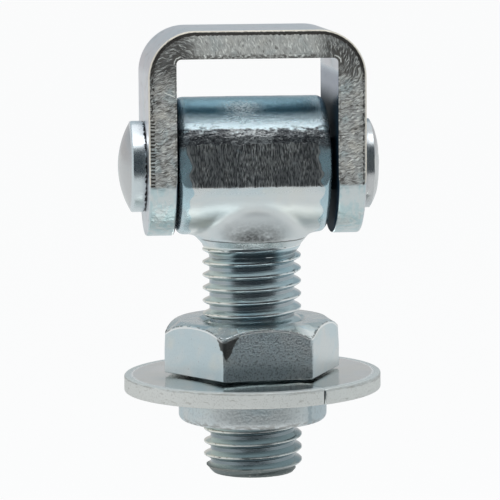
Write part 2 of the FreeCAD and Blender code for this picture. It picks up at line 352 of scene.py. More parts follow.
class Graph:
    """The nodes of one material or world."""

    def __init__(self, tree: bpy.types.NodeTree) -> None:
        """Empty a node tree to fill it anew."""
        self.tree = tree
        tree.nodes.clear()

    def add(
        self,
        kind: str,
        settings: dict[str, object] | None = None,
        inputs: dict[int | str, object] | None = None,
        output: int | str = 0,
    ) -> Value:
        """Add a node.

        Args:
            kind: The node's type.
            settings: Its properties, set before its sockets are read.
            inputs: The value or link of each socket, by name or number.
            output: Which output to return.

        Returns:
            That output as a value.
        """
        node = self.tree.nodes.new(kind)
        for key, setting in (settings or {}).items():
            setattr(node, key, setting)
        for key, given in (inputs or {}).items():
            if isinstance(given, Value):
                self.tree.links.new(given.socket, node.inputs[key])
            else:
                node.inputs[key].default_value = given
        return Value(self, node.outputs[output]) if node.outputs else Value(self, None)

    def noise(
        self,
        place: Value,
        size: float,
        stretch: Sequence[float] = (1, 1, 1),
        detail: float = 2.0,
        warp: float = 0.0,
    ) -> Value:
        """Add noise whose humps have a size in mm.

        Args:
            place: The point in mm.
            size: The size of one hump.
            stretch: How much longer the humps are along each axis.
            detail: How many finer layers it has.
            warp: How much it is distorted.

        Returns:
            The noise from 0 to 1, about 0.5.
        """
        factors = [1 / (size * long) for long in stretch]
        inputs = {"Vector": place.stretched(factors), "Scale": 1.0, "Detail": detail}
        return self.add("ShaderNodeTexNoise", {}, {**inputs, "Distortion": warp})

    def mix(self, share: object, first: object, second: object) -> Value:
        """Mix two colours.

        Args:
            share: How much of the second, from 0 to 1.
            first: A colour or a value that holds one.
            second: The other colour.

        Returns:
            The mixed colour.
        """
        inputs = {0: share}
        for key, given in ((6, first), (7, second)):
            inputs[key] = given if isinstance(given, Value) else (*given, 1.0)
        return self.add("ShaderNodeMix", {"data_type": "RGBA"}, inputs, 2)

    def paint(self, ground: object, *coats: tuple[object, object]) -> Value:
        """Lay coats of colour over a ground, one after the other.

        Args:
            ground: The colour under the first coat.
            coats: For each coat, how much of it shows and its colour.

        Returns:
            The painted colour.
        """
        for share, colour in coats:
            ground = self.mix(share, ground, colour)
        return ground

    def attribute(self, name: str, output: str = "Fac") -> Value:
        """Read what a piece's mesh stores at each vertex under a name."""
        return self.add("ShaderNodeAttribute", {"attribute_name": name}, output=output)


# Finishes


@dataclass
class Layer:
    """What one feature adds to a surface: coats of colour and changes of the other values."""

    coats: list[tuple[object, object]]
    roughness: Value | float = 0.0
    height: Value | float = 0.0
    metal: Value | float = 0.0


@dataclass
class Surface:
    """What a finish gives at each point of a piece; its last field is the share of matt black
    painted on it as shade.
    """

    colour: Value
    roughness: Value
    height: Value
    metal: Value | float = 1.0
    painted_shade: Value | None = None

    def under(self, graph: Graph, layer: Layer) -> "Surface":
        """Lay a feature over this surface.

        Args:
            graph: The material's nodes.
            layer: What the feature adds.

        Returns:
            The surface with the feature.
        """
        return Surface(
            graph.paint(self.colour, *layer.coats),
            self.roughness + layer.roughness,
            self.height + layer.height,
            layer.metal + self.metal,
            self.painted_shade,
        )

    def joined(self, graph: Graph, other: "Surface", share: Value) -> "Surface":
        """Pass over to another surface's colour, roughness and height where a share is 1.

        Args:
            graph: The material's nodes.
            other: The other surface.
            share: How far it replaces this one.

        Returns:
            The joined surface, with this one's metal and painted shade.
        """
        return Surface(
            graph.mix(share, self.colour, other.colour),
            self.roughness * (1.0 - share) + other.roughness * share,
            self.height * (1.0 - share) + other.height * share,
            self.metal,
            self.painted_shade,
        )


@dataclass(frozen=True)
class ZincPlate:
    """Bright zinc plate with a faint blue and straw bloom, fine grain and a few dark specks."""

    name: str
    blue: Colour = (0.60, 0.69, 0.72)
    grey: Colour = (0.70, 0.73, 0.73)
    straw: Colour = (0.75, 0.74, 0.68)
    stain: Colour = (0.22, 0.20, 0.18)
    # Colour of the matt black painted as shade.
    painted_shade: Colour = (0.011, 0.027, 0.042)
    bloom_size: float = 7.0
    dull: float = 0.24
    grain_size: float = 0.28
    grain_height: float = 0.006
    wave_size: float = 2.6
    wave_height: float = 0.020
    speck_size: float = 0.33
    speck_share: float = 0.5
    speck_depth: float = 0.015

    def surface(self, graph: Graph, place: Value) -> Surface:
        """Lay down the plate that every piece has.

        Args:
            graph: The material's nodes.
            place: The point on the piece in mm.

        Returns:
            Colour, roughness and height at that point.
        """
        bloom = graph.noise(place, self.bloom_size, detail=3.0, warp=0.4)
        patches = graph.noise(place.moved((31.0, 7.0, 3.0)), self.bloom_size * 0.7, detail=2.0)
        specks = graph.noise(place.moved((5.0, 50.0, 9.0)), self.speck_size, detail=1.0)
        specks = specks.rise(0.73, 0.80) * self.speck_share
        colour = graph.paint(
            self.blue,
            (bloom.rise(0.38, 0.60), self.grey),
            (patches.rise(0.55, 0.80) * 0.7, self.straw),
            (specks, self.stain),
        )
        grain = graph.noise(place, self.grain_size, detail=2.0)
        wave = graph.noise(place, self.wave_size, detail=1.0)
        height = (grain - 0.5) * self.grain_height + (wave - 0.5) * self.wave_height
        roughness = bloom * 0.10 + grain * 0.08 + (self.dull - 0.09)
        return Surface(colour, roughness, height - specks * self.speck_depth)

    def material(self) -> bpy.types.Material:
        """Make the material.

        Returns:
            A node material that reads only the piece's own coordinates and attributes.
        """
        material = bpy.data.materials.new(self.name)
        material.use_nodes = True
        graph = Graph(material.node_tree)
        where = graph.add("ShaderNodeTexCoord", output="Object")
        found = self.surface(graph, where.stretched([1 / MM] * 3))
        bump = {"Strength": 1.0, "Distance": MM, "Height": found.height}
        inputs = {
            "Base Color": found.colour,
            "Metallic": found.metal,
            "Roughness": found.roughness,
            "Normal": graph.add("ShaderNodeBump", {}, bump),
        }
        shown = graph.add("ShaderNodeBsdfPrincipled", {}, inputs)
        # Mix in the matt black that a finish paints as shade.
        if found.painted_shade is not None:
            matt = graph.add("ShaderNodeBsdfDiffuse", {}, {"Color": (*self.painted_shade, 1.0)})
            shown = graph.add("ShaderNodeMixShader", {}, {0: found.painted_shade, 1: shown, 2: matt})
        graph.add("ShaderNodeOutputMaterial", {}, {"Surface": shown})
        return material


@dataclass(frozen=True)
class ShearedBar(ZincPlate):
    """Plate on a bent flat bar: smooth faces with painted shade inside the U, and sheared edges
    with torn fibres and a burr.
    """

    half_width: float = 10.7
    thickness: float = 4.3
    fold_centre: tuple[float, float] = (11.5, -5.0)
    tooth_length: float = 0.54
    blue: Colour = (0.68, 0.705, 0.735)
    grey: Colour = (0.73, 0.715, 0.74)
    torn: Colour = (0.42, 0.41, 0.39)
    calm_torn: Colour = (0.56, 0.54, 0.505)
    warm: Colour = (0.62, 0.565, 0.49)
    cold: Colour = (0.40, 0.47, 0.475)
    pressed: Colour = (0.060, 0.058, 0.056)
    crack: Colour = (0.10, 0.09, 0.08)
    bright: Colour = (0.92, 0.90, 0.84)
    burr: Colour = (0.030, 0.024, 0.020)
    # Painted highlight along the rounded outer edge of the shear face.
    lip: Colour = (0.84, 0.76, 0.66)
    scuffed: Colour = (0.55, 0.53, 0.52)
    # Painted shade on the U's inner faces: bluish on the legs' upper insides, blue-grey under the
    # bridge, near black low between the legs.
    inner: Colour = (0.44, 0.48, 0.60)
    under: Colour = (0.36, 0.46, 0.51)
    deep: Colour = (0.035, 0.085, 0.125)
    ear: Colour = (0.55, 0.68, 0.70)
    ear_pale: Colour = (0.68, 0.73, 0.73)

    def surface(self, graph: Graph, place: Value) -> Surface:
        """Add the sheared edges, and the painted shade on the U's inner faces, to the plate.

        Args:
            graph: The material's nodes.
            place: The point on the piece in mm.

        Returns:
            Colour, roughness, height, metal and painted shade at that point.
        """
        bar = graph.attribute("bar", "Vector")
        along, across = bar.part(0), bar.part(1)
        border = graph.noise(bar, 0.9, detail=2.0)
        edge = abs(place.part(1)).rise(self.half_width - 0.34, self.half_width - 0.22)
        edge = edge * (abs(along) + (border - 0.5) * 2.4).rise(36.3, 35.3)
        inside = across.rise(0.25, 0.05)
        leg = abs(along).rise(14.0, 18.0)
        low = place.part(2).rise(-8.5, -12.5)
        # Painted shade on the inner faces: under the bridge and on the legs, darker low down.
        painted_inner_shade = graph.mix(leg, self.under, graph.mix(low, self.inner, self.deep))
        face = super().surface(graph, place)
        face = face.under(graph, self._wear(graph, place, across))
        face = face.under(graph, Layer([(inside, painted_inner_shade)], inside * -0.18))
        found = face.joined(graph, self._shear(graph, place, bar, leg), edge)
        found.metal = 1.0 - edge * 0.72
        # Matt black painted as shade over the legs' inner faces, more of it low down.
        found.painted_shade = inside * leg * (1.0 - edge) * (0.42 + low * 0.50)
        return found

    def _wear(self, graph: Graph, place: Value, across: Value) -> Layer:
        """Give the smooth faces' handling marks and the swells and bloom on the ears' ends.

        Args:
            graph: The material's nodes.
            place: The point on the piece in mm.
            across: How far it lies from the bar's inner face.

        Returns:
            What the marks add to the plate.
        """
        ears = place.part(2).rise(-22.0, -24.0) * across.band(0.15, 4.15, 0.1)
        swirl = graph.noise(place, 1.5, (1.0, 1.0, 1.6), detail=3.0, warp=1.2)
        scuff = graph.noise(place, 1.3, (1.0, 3.5, 1.2), detail=4.0, warp=0.3)
        swell = graph.noise(place, 0.75, (1.4, 1.0, 1.0), detail=2.0, warp=0.4)
        coats = [
            (scuff.rise(0.55, 0.72) * 0.45, self.scuffed),
            (ears, graph.mix(swirl.rise(0.36, 0.64), self.ear, self.ear_pale)),
        ]
        return Layer(coats, (scuff - 0.5) * 0.22, ears * (swell - 0.5) * 0.11)

    def _shear(self, graph: Graph, place: Value, bar: Value, leg: Value) -> Surface:
        """Give the sheared edge: fibres, hairs, the pressed bends, folds painted as light and
        shade, burr, painted glints on the bridge's foot and a painted highlight on the lip.

        Args:
            graph: The material's nodes.
            place: The point on the piece in mm.
            bar: The point along and across the bar.
            leg: How far it lies on a leg.

        Returns:
            Colour, roughness and height of the edge.
        """
        along, across = bar.part(0), bar.part(1)
        bridge = abs(along).rise(11.5, 9.0)
        bend = abs(along).band(10.0, 17.5, 2.2)
        slant = along + across * (0.25 + bend * 0.6) + graph.noise(bar, 1.1, detail=2.0)
        lines = graph.add("ShaderNodeCombineXYZ", {}, {0: slant, 1: across, 2: place.part(1)})
        fibre = graph.noise(lines, 0.21, (1.0, 4.0, 3.0), detail=3.0, warp=0.5)
        coarse = graph.noise(lines, 0.8, (1.0, 2.4, 3.0), detail=2.0, warp=0.4)
        strokes = graph.noise(lines.moved((3.0, 9.0, 0.0)), 0.20, (1.0, 4.0, 3.0), detail=1.0)
        hairs = graph.noise(lines.moved((8.0, 2.0, 5.0)), 0.13, (1.0, 7.0, 3.0), detail=1.0)
        patch = graph.noise(bar, 2.6, detail=2.0)
        tinge = graph.noise(bar.moved((4.0, 8.0, 1.0)), 2.2, detail=2.0)
        rim = graph.noise(bar, 0.42, (1.0, 3.0, 1.0), detail=3.0)
        ridge = graph.noise(bar, 0.34, (1.6, 1.0, 1.0), detail=2.0)

        calm = 1.0 - bridge * 0.55
        dark = fibre.rise(0.54, 0.36) * 0.62 * calm + strokes.rise(0.63, 0.73) * 0.5
        dark = dark + coarse.rise(0.46, 0.30) * 0.55 * calm + bend * fibre.rise(0.56, 0.46) * 0.3
        tinted = 0.55 - bridge * 0.35
        hairy = 1.0 - bridge * 0.7
        burr = self._burr(graph, bar, rim)
        foot = across.rise(0.95, 0.35) * bridge * ridge.rise(0.60, 0.42) * 0.85
        foot = foot + across.rise(0.45, 0.20) * (1.0 - bridge) * coarse.rise(0.60, 0.42) * 0.6
        coats = [
            (bridge * 0.75 + patch.rise(0.5, 0.7) * 0.3, self.calm_torn),
            (tinge.rise(0.52, 0.66) * tinted, self.warm),
            (tinge.rise(0.46, 0.34) * tinted, self.cold),
            (bend * (0.78 + patch.rise(0.35, 0.6) * 0.22), self.pressed),
            (dark, self.crack),
            (fibre.rise(0.56, 0.68) * (0.65 - bend * 0.3), self.bright),
            (hairs.rise(0.58, 0.66) * (bend * 0.25 + 0.25) * hairy, self.bright),
            (hairs.rise(0.42, 0.34) * 0.45 * hairy, self.crack),
            (burr * 0.96, self.burr),
            # Painted highlight along the rounded outer edge.
            (across.rise(self.thickness - 0.30, self.thickness - 0.20), self.lip),
            (foot, self.crack),
            # Painted glints along the foot of the bridge's shear face.
            (across.band(0.25, 0.85, 0.1) * bridge * ridge.rise(0.62, 0.70), self.bright),
            *self._folds(graph, place, bar, rim, leg),
        ]
        height = (fibre - 0.5) * 0.13 * calm + (coarse - 0.5) * 0.08 - burr * 0.12 - foot * 0.05
        return Surface(graph.paint(self.torn, *coats), 0.50 + fibre * 0.12, height)

    def _burr(self, graph: Graph, bar: Value, rim: Value) -> Value:
        """Say how far a point lies on the dark burr, which has teeth low on the left leg.

        Args:
            graph: The material's nodes.
            bar: The point along and across the bar.
            rim: The noise that frays the burr.

        Returns:
            The share of burr, from 0 to 1.
        """
        along, across = bar.part(0), bar.part(1)
        chain = graph.add("ShaderNodeCombineXYZ", {}, {0: along})
        left_leg = along.rise(-15.0, -17.5)
        right_leg = along.rise(15.5, 18.0)
        middle = (rim - 0.5) * 0.50 + (self.thickness - 0.50) - left_leg * 0.10
        width = 0.24 + left_leg * 0.08 - right_leg * 0.14
        burr = (width - abs(across - middle)).rise(-0.06, 0.06)
        toothed = left_leg * along.rise(-22.5, -24.0)
        jitter = graph.noise(chain, 1.6, detail=0.0) * 5.0
        teeth = (along * (math.tau / self.tooth_length) + jitter).sine().rise(-0.35, 0.25)
        specks = graph.noise(bar, 0.30, detail=1.0).rise(0.62, 0.46)
        gaps = toothed * teeth + (left_leg - toothed) * specks
        gaps = gaps + right_leg * graph.noise(chain, 0.42, detail=0.0).rise(0.46, 0.54)
        return burr * (1.0 - gaps * 0.85)

    def _folds(self, graph: Graph, place: Value, bar: Value, rim: Value, leg: Value) -> list:
        """List the coats of the inner corners' folds, painted as a highlight ring between shadow
        rings, the left leg's slip mark and the bead.

        Args:
            graph: The material's nodes.
            place: The point on the piece in mm.
            bar: The point along and across the bar.
            rim: The noise that frays the marks.
            leg: How far the point lies on a leg.

        Returns:
            For each coat, its share and its colour.
        """
        along, across = bar.part(0), bar.part(1)
        reach = abs(place.part(0)) - self.fold_centre[0]
        height = place.part(2) - self.fold_centre[1]
        away = (reach**2 + height**2) ** 0.5 + (rim - 0.5) * 0.35
        fold = reach.rise(0.0, 0.25) * height.rise(-0.1, 0.2)
        slip = abs(along + 19.2 + (1.9 - across) * 0.47 + (rim - 0.5) * 0.15)
        chain = graph.add("ShaderNodeCombineXYZ", {}, {0: along})
        beads = graph.noise(chain, 0.5, detail=1.0).rise(0.5, 0.6)
        return [
            # Painted shadow, highlight and shadow rings round each inner corner stand in for a fold
            # that is not modelled.
            (away.band(0.78, 1.00, 0.05) * fold * 0.9, self.crack),
            (away.band(1.02, 1.18, 0.05) * fold * 0.7, self.bright),
            (away.band(1.24, 1.60, 0.10) * fold * 0.7, self.crack),
            (slip.rise(0.10, 0.04) * across.band(0.3, 1.9, 0.1) * 0.8, self.bright),
            (across.rise(0.22, 0.10) * leg * beads * 0.7, self.bright),
        ]


@dataclass(frozen=True)
class RivetedPin(ZincPlate):
    """Plate on the pin, with the torn dark seam under its domed head and a painted highlight on top
    of the head's rim.
    """

    blue: Colour = (0.55, 0.58, 0.60)
    grey: Colour = (0.60, 0.60, 0.60)
    rim: Colour = (0.70, 0.76, 0.78)
    # Painted highlight on the top of the head's rim.
    rim_painted_highlight: Colour = (0.96, 0.98, 1.0)
    seam: Colour = (0.03, 0.03, 0.035)
    seam_start: float = -16.80
    seam_end: float = -16.55

    def surface(self, graph: Graph, place: Value) -> Surface:
        """Add the seam, the head's rim with its painted highlight, and the shank's painted shade to
        the plate.

        Args:
            graph: The material's nodes.
            place: The point on the piece in mm.

        Returns:
            Colour, roughness, height, metal and painted shade at that point.
        """
        plate = super().surface(graph, place)
        along = place.part(0)
        torn = graph.noise(place, 0.55, (3.0, 1.0, 1.0), detail=2.0)
        seam = (along + (torn - 0.5) * 0.9).rise(self.seam_start, self.seam_start + 0.1)
        seam = seam * along.rise(self.seam_end + 0.3, self.seam_end + 0.2)
        radius = (place.part(1) ** 2 + (place.part(2) - PIVOT.z) ** 2) ** 0.5
        rim = radius.rise(6.3, 6.7) * along.rise(-16.0, -16.4)
        coats = [
            (rim, self.rim),
            # Painted highlight on the top of the rim.
            (rim * place.part(2).rise(-18.4, -16.6), self.rim_painted_highlight),
            (seam * torn.rise(0.40, 0.50), self.seam),
        ]
        rivet = along.rise(16.4, 16.6)
        found = plate.under(graph, Layer(coats, rim * torn * 0.12, seam * -0.05, rivet * -0.10))
        # Matt black painted as shade on the shank between head and riveted end, where it sits in
        # the bores.
        shank = radius.rise(4.6, 4.2) * abs(along).rise(16.4, 16.0)
        found.painted_shade = shank * 0.95
        return found


@dataclass(frozen=True)
class ForgedPlace:
    """Where a point lies on the forging, and the two noises that fray its features."""

    point: Value
    rise: Value
    out: Value
    up: Value
    ragged: Value
    scale: Value


@dataclass(frozen=True)
class TrimmedForging(ZincPlate):
    """Plate on a forging, with the two flats where its flash was trimmed and a rolled thread, and
    painted highlights, reflections and shade on the eye, neck and thread.
    """

    flat_distance: float = 9.92
    flat_tilt: float = 7.5
    tip_top: float = -60.0
    # Centre of the painted highlight spot on the eye's top.
    spot: tuple[float, float] = (-1.9, -5.0)
    trimmed: Colour = (0.22, 0.22, 0.22)
    dragged: Colour = (0.42, 0.42, 0.415)
    clouded: Colour = (0.42, 0.40, 0.37)
    gouge: Colour = (0.06, 0.06, 0.065)
    shine: Colour = (0.90, 0.90, 0.88)
    # Colour of the painted highlight spot on the eye's top.
    painted_sheen: Colour = (0.95, 0.97, 0.97)
    # Blue painted as a reflection on the thread's lower flanks.
    tint: Colour = (0.50, 0.65, 0.71)
    # Blue tint, also painted on the eye's top as a reflection of the bridge's shaded underside.
    blue_tint_and_painted_reflection: Colour = (0.42, 0.575, 0.64)
    end_tint: Colour = (0.47, 0.70, 0.78)
    # Painted highlight band above the flats.
    painted_band_highlight: Colour = (0.73, 0.83, 0.87)
    torn_middle: Colour = (0.36, 0.36, 0.36)
    torn_sides: Colour = (0.10, 0.10, 0.105)
    pit: Colour = (0.03, 0.03, 0.035)
    belly_tone: Colour = (0.80, 0.82, 0.81)
    neck_tone: Colour = (0.80, 0.81, 0.80)
    # Darker colour down the middle of the neck's lower part.
    darker_middle: Colour = (0.15, 0.15, 0.145)
    # Painted shade line under the neck's lip, at the front only.
    lip_painted_shade: Colour = (0.10, 0.10, 0.10)
    # Painted shade on the stud below the bush and washer.
    painted_shade_below_bush: Colour = (0.36, 0.40, 0.40)
    seam: Colour = (0.05, 0.045, 0.04)
    # Painted shade in the thread's roots.
    root_painted_shade: Colour = (0.10, 0.15, 0.19)
    # Painted light on the left side of the thread's upper flanks.
    left_painted_light: Colour = (0.90, 0.87, 0.76)
    cone_tone: Colour = (0.13, 0.145, 0.14)
    grit_tone: Colour = (0.50, 0.50, 0.46)

    def surface(self, graph: Graph, place: Value) -> Surface:
        """Add the trimmed flats, the scale above them, and the painted light and shade of the eye,
        neck and thread to the plate.

        Args:
            graph: The material's nodes.
            place: The point on the piece in mm.

        Returns:
            Colour, roughness, height and metal at that point.
        """
        at = self._locate(graph, place)
        wavy = graph.noise(place, 2.6, (3.0, 1, 1), detail=1.0) - 0.5
        border = abs(place.part(0) + 0.3) + wavy * 3.2 + at.ragged * 0.25
        ends = border.rise(9.88, 10.12) * place.part(2).rise(-33.5, -31.5)
        # A painted highlight line along the border between the eye's end bands and the flats.
        hem = border.band(9.62, 9.92, 0.10) * at.rise.band(-3.4, 3.4, 0.8)
        flat = self._flat(graph, at) * (1.0 - ends * 0.9)
        layers = [
            self._eye(graph, at, ends),
            self._neck(graph, at),
            self._tear(graph, at, flat),
            self._thread(graph, at),
            self._tip(graph, at),
        ]
        found = super().surface(graph, place)
        for layer in layers:
            found = found.under(graph, layer)
        found = found.joined(graph, self._trim(graph, at, hem), flat)
        found.metal = found.metal - flat * 0.10
        return found

    def _locate(self, graph: Graph, place: Value) -> ForgedPlace:
        """Work out a point's height over the pin, and its place out to and up a flat.

        Args:
            graph: The material's nodes.
            place: The point on the piece in mm.

        Returns:
            The point with its places.
        """
        tilt = math.radians(self.flat_tilt)
        depth, rise = abs(place.part(1)), place.part(2) - PIVOT.z
        out = depth * math.cos(tilt) + rise * math.sin(tilt)
        up = rise * math.cos(tilt) - depth * math.sin(tilt)
        ragged = graph.noise(place, 0.9, detail=3.0) - 0.5
        scale = graph.noise(place, 0.22, (1.5, 1, 1), detail=3.0, warp=0.3)
        return ForgedPlace(place, rise, out, up, ragged, scale)

    def _flat(self, graph: Graph, at: ForgedPlace) -> Value:
        """Say how far a point lies on a trimmed flat, whose borders are torn.

        Args:
            graph: The material's nodes.
            at: The point on the forging.

        Returns:
            The share of flat, from 0 to 1.
        """
        rip = graph.noise(at.point, 0.22, (1, 1, 5.0), detail=1.0) - 0.5
        limit = at.up.rise(-1.0, 3.0)
        depth = at.out + at.ragged * (0.10 + limit * 0.16) + rip * 0.13 * (1.0 - limit)
        flat = depth.rise(self.flat_distance - 0.10, self.flat_distance - 0.05)
        return flat * (at.up + at.ragged * 1.2).rise(2.75, 2.60)

    def _trim(self, graph: Graph, at: ForgedPlace, hem: Value) -> Surface:
        """Give a trimmed flat: fine drag lines, clouds, worn streaks and a painted highlight along
        its hem.

        Args:
            graph: The material's nodes.
            at: The point on the forging.
            hem: How far it lies on the painted highlight line beside the eye's ends.

        Returns:
            Colour, roughness and height of the flat.
        """
        scratch = graph.noise(at.point, 0.10, (1, 1, 70.0), detail=1.0)
        drag = graph.noise(at.point, 0.26, (1, 1, 24.0), detail=1.0)
        cloud = graph.noise(at.point, 2.6, (1, 1, 1.4), detail=2.0)
        worn = (cloud + abs(at.point.part(0) + 1.0).rise(4.0, 0.5) * 0.14).rise(0.46, 0.64)
        colour = graph.paint(
            self.trimmed,
            (drag.rise(0.40, 0.62), self.dragged),
            (cloud.rise(0.50, 0.62) * 0.35, self.clouded),
            (scratch.rise(0.50, 0.38) * 0.80, self.gouge),
            (scratch.rise(0.56, 0.64) * (worn * 0.6 + 0.2), self.shine),
            # Painted highlight along the hem.
            (hem * 0.45, self.shine),
        )
        height = (scratch - 0.5) * 0.024 + (drag - 0.5) * 0.035
        return Surface(colour, 0.34 + scratch * 0.12, height)

    def _eye(self, graph: Graph, at: ForgedPlace, ends: Value) -> Layer:
        """Give the eye's blue top, deepened as a painted reflection, its painted highlight spot,
        the bands at its ends and its belly.

        Args:
            graph: The material's nodes.
            at: The point on the forging.
            ends: How far it lies on the bands at the eye's ends.

        Returns:
            What the eye's skin adds to the plate.
        """
        top = at.rise.rise(6.2, 8.2)
        # A painted highlight spot on the eye's top, also made matt so that it shows bright.
        aside = (at.point.part(0) - self.spot[0]) * 0.27
        ahead = (at.point.part(1) - self.spot[1]) * 0.42
        spot = ((aside**2 + ahead**2) ** 0.5 + at.ragged * 0.4).rise(1.30, 0.10)
        spot = spot * top * (at.scale.rise(0.42, 0.56) * 0.6 + 0.4)
        cloudy = graph.noise(at.point, 1.6, (1, 1, 2.0), detail=2.0).rise(0.36, 0.62)
        belly = at.rise.rise(-3.0, -4.2) * at.rise.rise(-10.9, -10.4) * (1.0 - ends)
        coats = [
            # Painted reflection of the bridge's shaded underside on the eye's top.
            (at.rise.rise(5.8, 7.1), self.blue_tint_and_painted_reflection),
            # Painted highlight spot.
            (spot, self.painted_sheen),
            (
                ends * (0.92 - at.rise.rise(-2.0, -8.0) * 0.45),
                graph.mix(cloudy, self.end_tint, self.blue_tint_and_painted_reflection),
            ),
            (belly * 0.55, self.belly_tone),
        ]
        relief = top * 0.05 * (at.scale - 0.5)
        return Layer(coats, belly * 0.07 - top * 0.08, relief, ends * -0.20 - spot * 0.8)

    def _neck(self, graph: Graph, at: ForgedPlace) -> Layer:
        """Give the matt neck, darker down the middle of its lower part, and the painted shade line
        under its lip at the front.

        Args:
            graph: The material's nodes.
            at: The point on the forging.

        Returns:
            What it adds to the plate.
        """
        girth = at.point.girth()
        neck_noise = graph.noise(at.point, 1.8, (1.6, 1.0, 0.8), detail=3.0)
        neck = at.rise.rise(-6.0, -7.6) * girth.rise(9.6, 9.0) * at.rise.rise(-11.2, -10.9)
        neck = neck * (abs(at.point.part(0)) + neck_noise * 3.0).rise(9.6, 4.0)
        middle = (abs(at.point.part(0) + 0.3) + at.ragged).rise(6.8, 1.0)
        fine_noise = graph.noise(at.point, 0.30, (1.6, 1.6, 1.0), detail=3.0)
        # Darker down the middle of the neck's lower part, front and back.
        darker_middle = fine_noise.rise(0.66, 0.40) * 0.30 + neck_noise.rise(0.20, 0.55) * 0.70
        darker_middle = darker_middle * neck * at.rise.rise(-7.2, -10.6) * middle
        # A painted shade line under the neck's lip, on the front only.
        lip = (at.point.part(2) + at.ragged * 0.15).band(-32.42, -32.22, 0.04)
        lip = lip * at.point.part(1).rise(-2.0, -4.0)
        coats = [(neck, self.neck_tone), (darker_middle, self.darker_middle), (lip * 0.75, self.lip_painted_shade)]
        return Layer(coats, neck * 0.10, 0.0, neck * -0.62)

    def _tear(self, graph: Graph, at: ForgedPlace, flat: Value) -> Layer:
        """Give the painted highlight band over a flat and the dark torn scale below it.

        Args:
            graph: The material's nodes.
            at: The point on the forging.
            flat: How far it lies on a flat, which has no scale.

        Returns:
            What the band and the scale add to the plate.
        """
        zone = at.up.band(1.8, 7.6, 0.9) * at.out.rise(6.6, 7.6)
        sides = (abs(at.point.part(0) + 0.9) + at.ragged * 2.0).rise(2.0, 4.4)
        clump = graph.noise(at.point.moved((7.0, 3.0, 1.0)), 0.62, (1.7, 1, 0.8), detail=3.0)
        tear = at.up.band(1.6, 5.3, 0.5) * zone
        tear = tear * (at.up - sides * 0.2 + (clump - 0.5) * 3.4).rise(5.4, 4.4)
        coats = [
            # Painted highlight band where the lamp's reflection falls.
            ((zone - tear) * 0.8, self.painted_band_highlight),
            (tear * 0.90, graph.mix(sides, self.torn_middle, self.torn_sides)),
            (tear * clump.rise(0.50, 0.40) * 0.6, self.pit),
            (tear * at.scale.rise(0.48, 0.38) * 0.8, self.pit),
            # Painted sparkles over the band and the scale.
            (zone * at.scale.rise(0.60, 0.68) * 0.40, self.shine),
        ]
        relief = zone * 0.085 * (at.scale - 0.5) + tear * (clump - 0.5) * 0.16
        return Layer(coats, zone * 0.05, relief, tear * (1.0 - flat) * -0.20)

    def _thread(self, graph: Graph, at: ForgedPlace) -> Layer:
        """Give the thread's painted blue reflection on its lower flanks, painted light on its left
        side, painted shade in its roots, painted highlights on its crests, the crests' dark seam
        pits and painted shade on the stud below the bush.

        Args:
            graph: The material's nodes.
            at: The point on the forging.

        Returns:
            What it adds to the plate.
        """
        thread = at.point.part(2).rise(-33.0, -34.0)
        crest, lower = graph.attribute("crest"), graph.attribute("lower")
        left = at.point.part(0).rise(-2.0, -6.5) * crest.rise(-0.9, -0.5) * thread
        pits = graph.noise(at.point, 0.30, (2.2, 2.2, 0.6), detail=1.0).rise(0.60, 0.68)
        flank = lower * crest.band(-0.7, 0.9, 0.15)
        coats = [
            # Painted shade on the stud below the bush.
            (at.point.part(2).rise(self.tip_top, self.tip_top - 1.2) * 0.85, self.painted_shade_below_bush),
            # Painted blue reflection on the lower flanks.
            (flank.rise(0.2, 0.7) * 0.6, self.tint),
            # Painted light on the left side's upper flanks.
            (left * lower.rise(0.7, -0.3) * 0.85, self.left_painted_light),
            (crest.rise(0.88, 0.96) * pits * 0.9, self.seam),
            # Painted highlight along the lower edge of each crest.
            (lower.band(0.12, 0.40, 0.06) * crest.rise(0.6, 0.8) * 0.9, self.shine),
            # Painted shade in the roots.
            (crest.rise(-0.45, -0.9) * 0.52, self.root_painted_shade),
        ]
        return Layer(coats, thread * -0.06)

    def _tip(self, graph: Graph, at: ForgedPlace) -> Layer:
        """Give the rough dark cone at the stud's end.

        Args:
            graph: The material's nodes.
            at: The point on the forging.

        Returns:
            What it adds to the plate.
        """
        cone = at.point.part(2).rise(-67.2, -67.8) * at.point.girth().rise(5.2, 6.0)
        grit = graph.noise(at.point, 0.28, (2.0, 2.0, 1.0), detail=2.0)
        coats = [
            (cone * 0.85, self.cone_tone),
            (cone * grit.rise(0.60, 0.70) * 0.5, self.grit_tone),
        ]
        return Layer(coats, cone * 0.25, cone * (grit - 0.5) * 0.07)


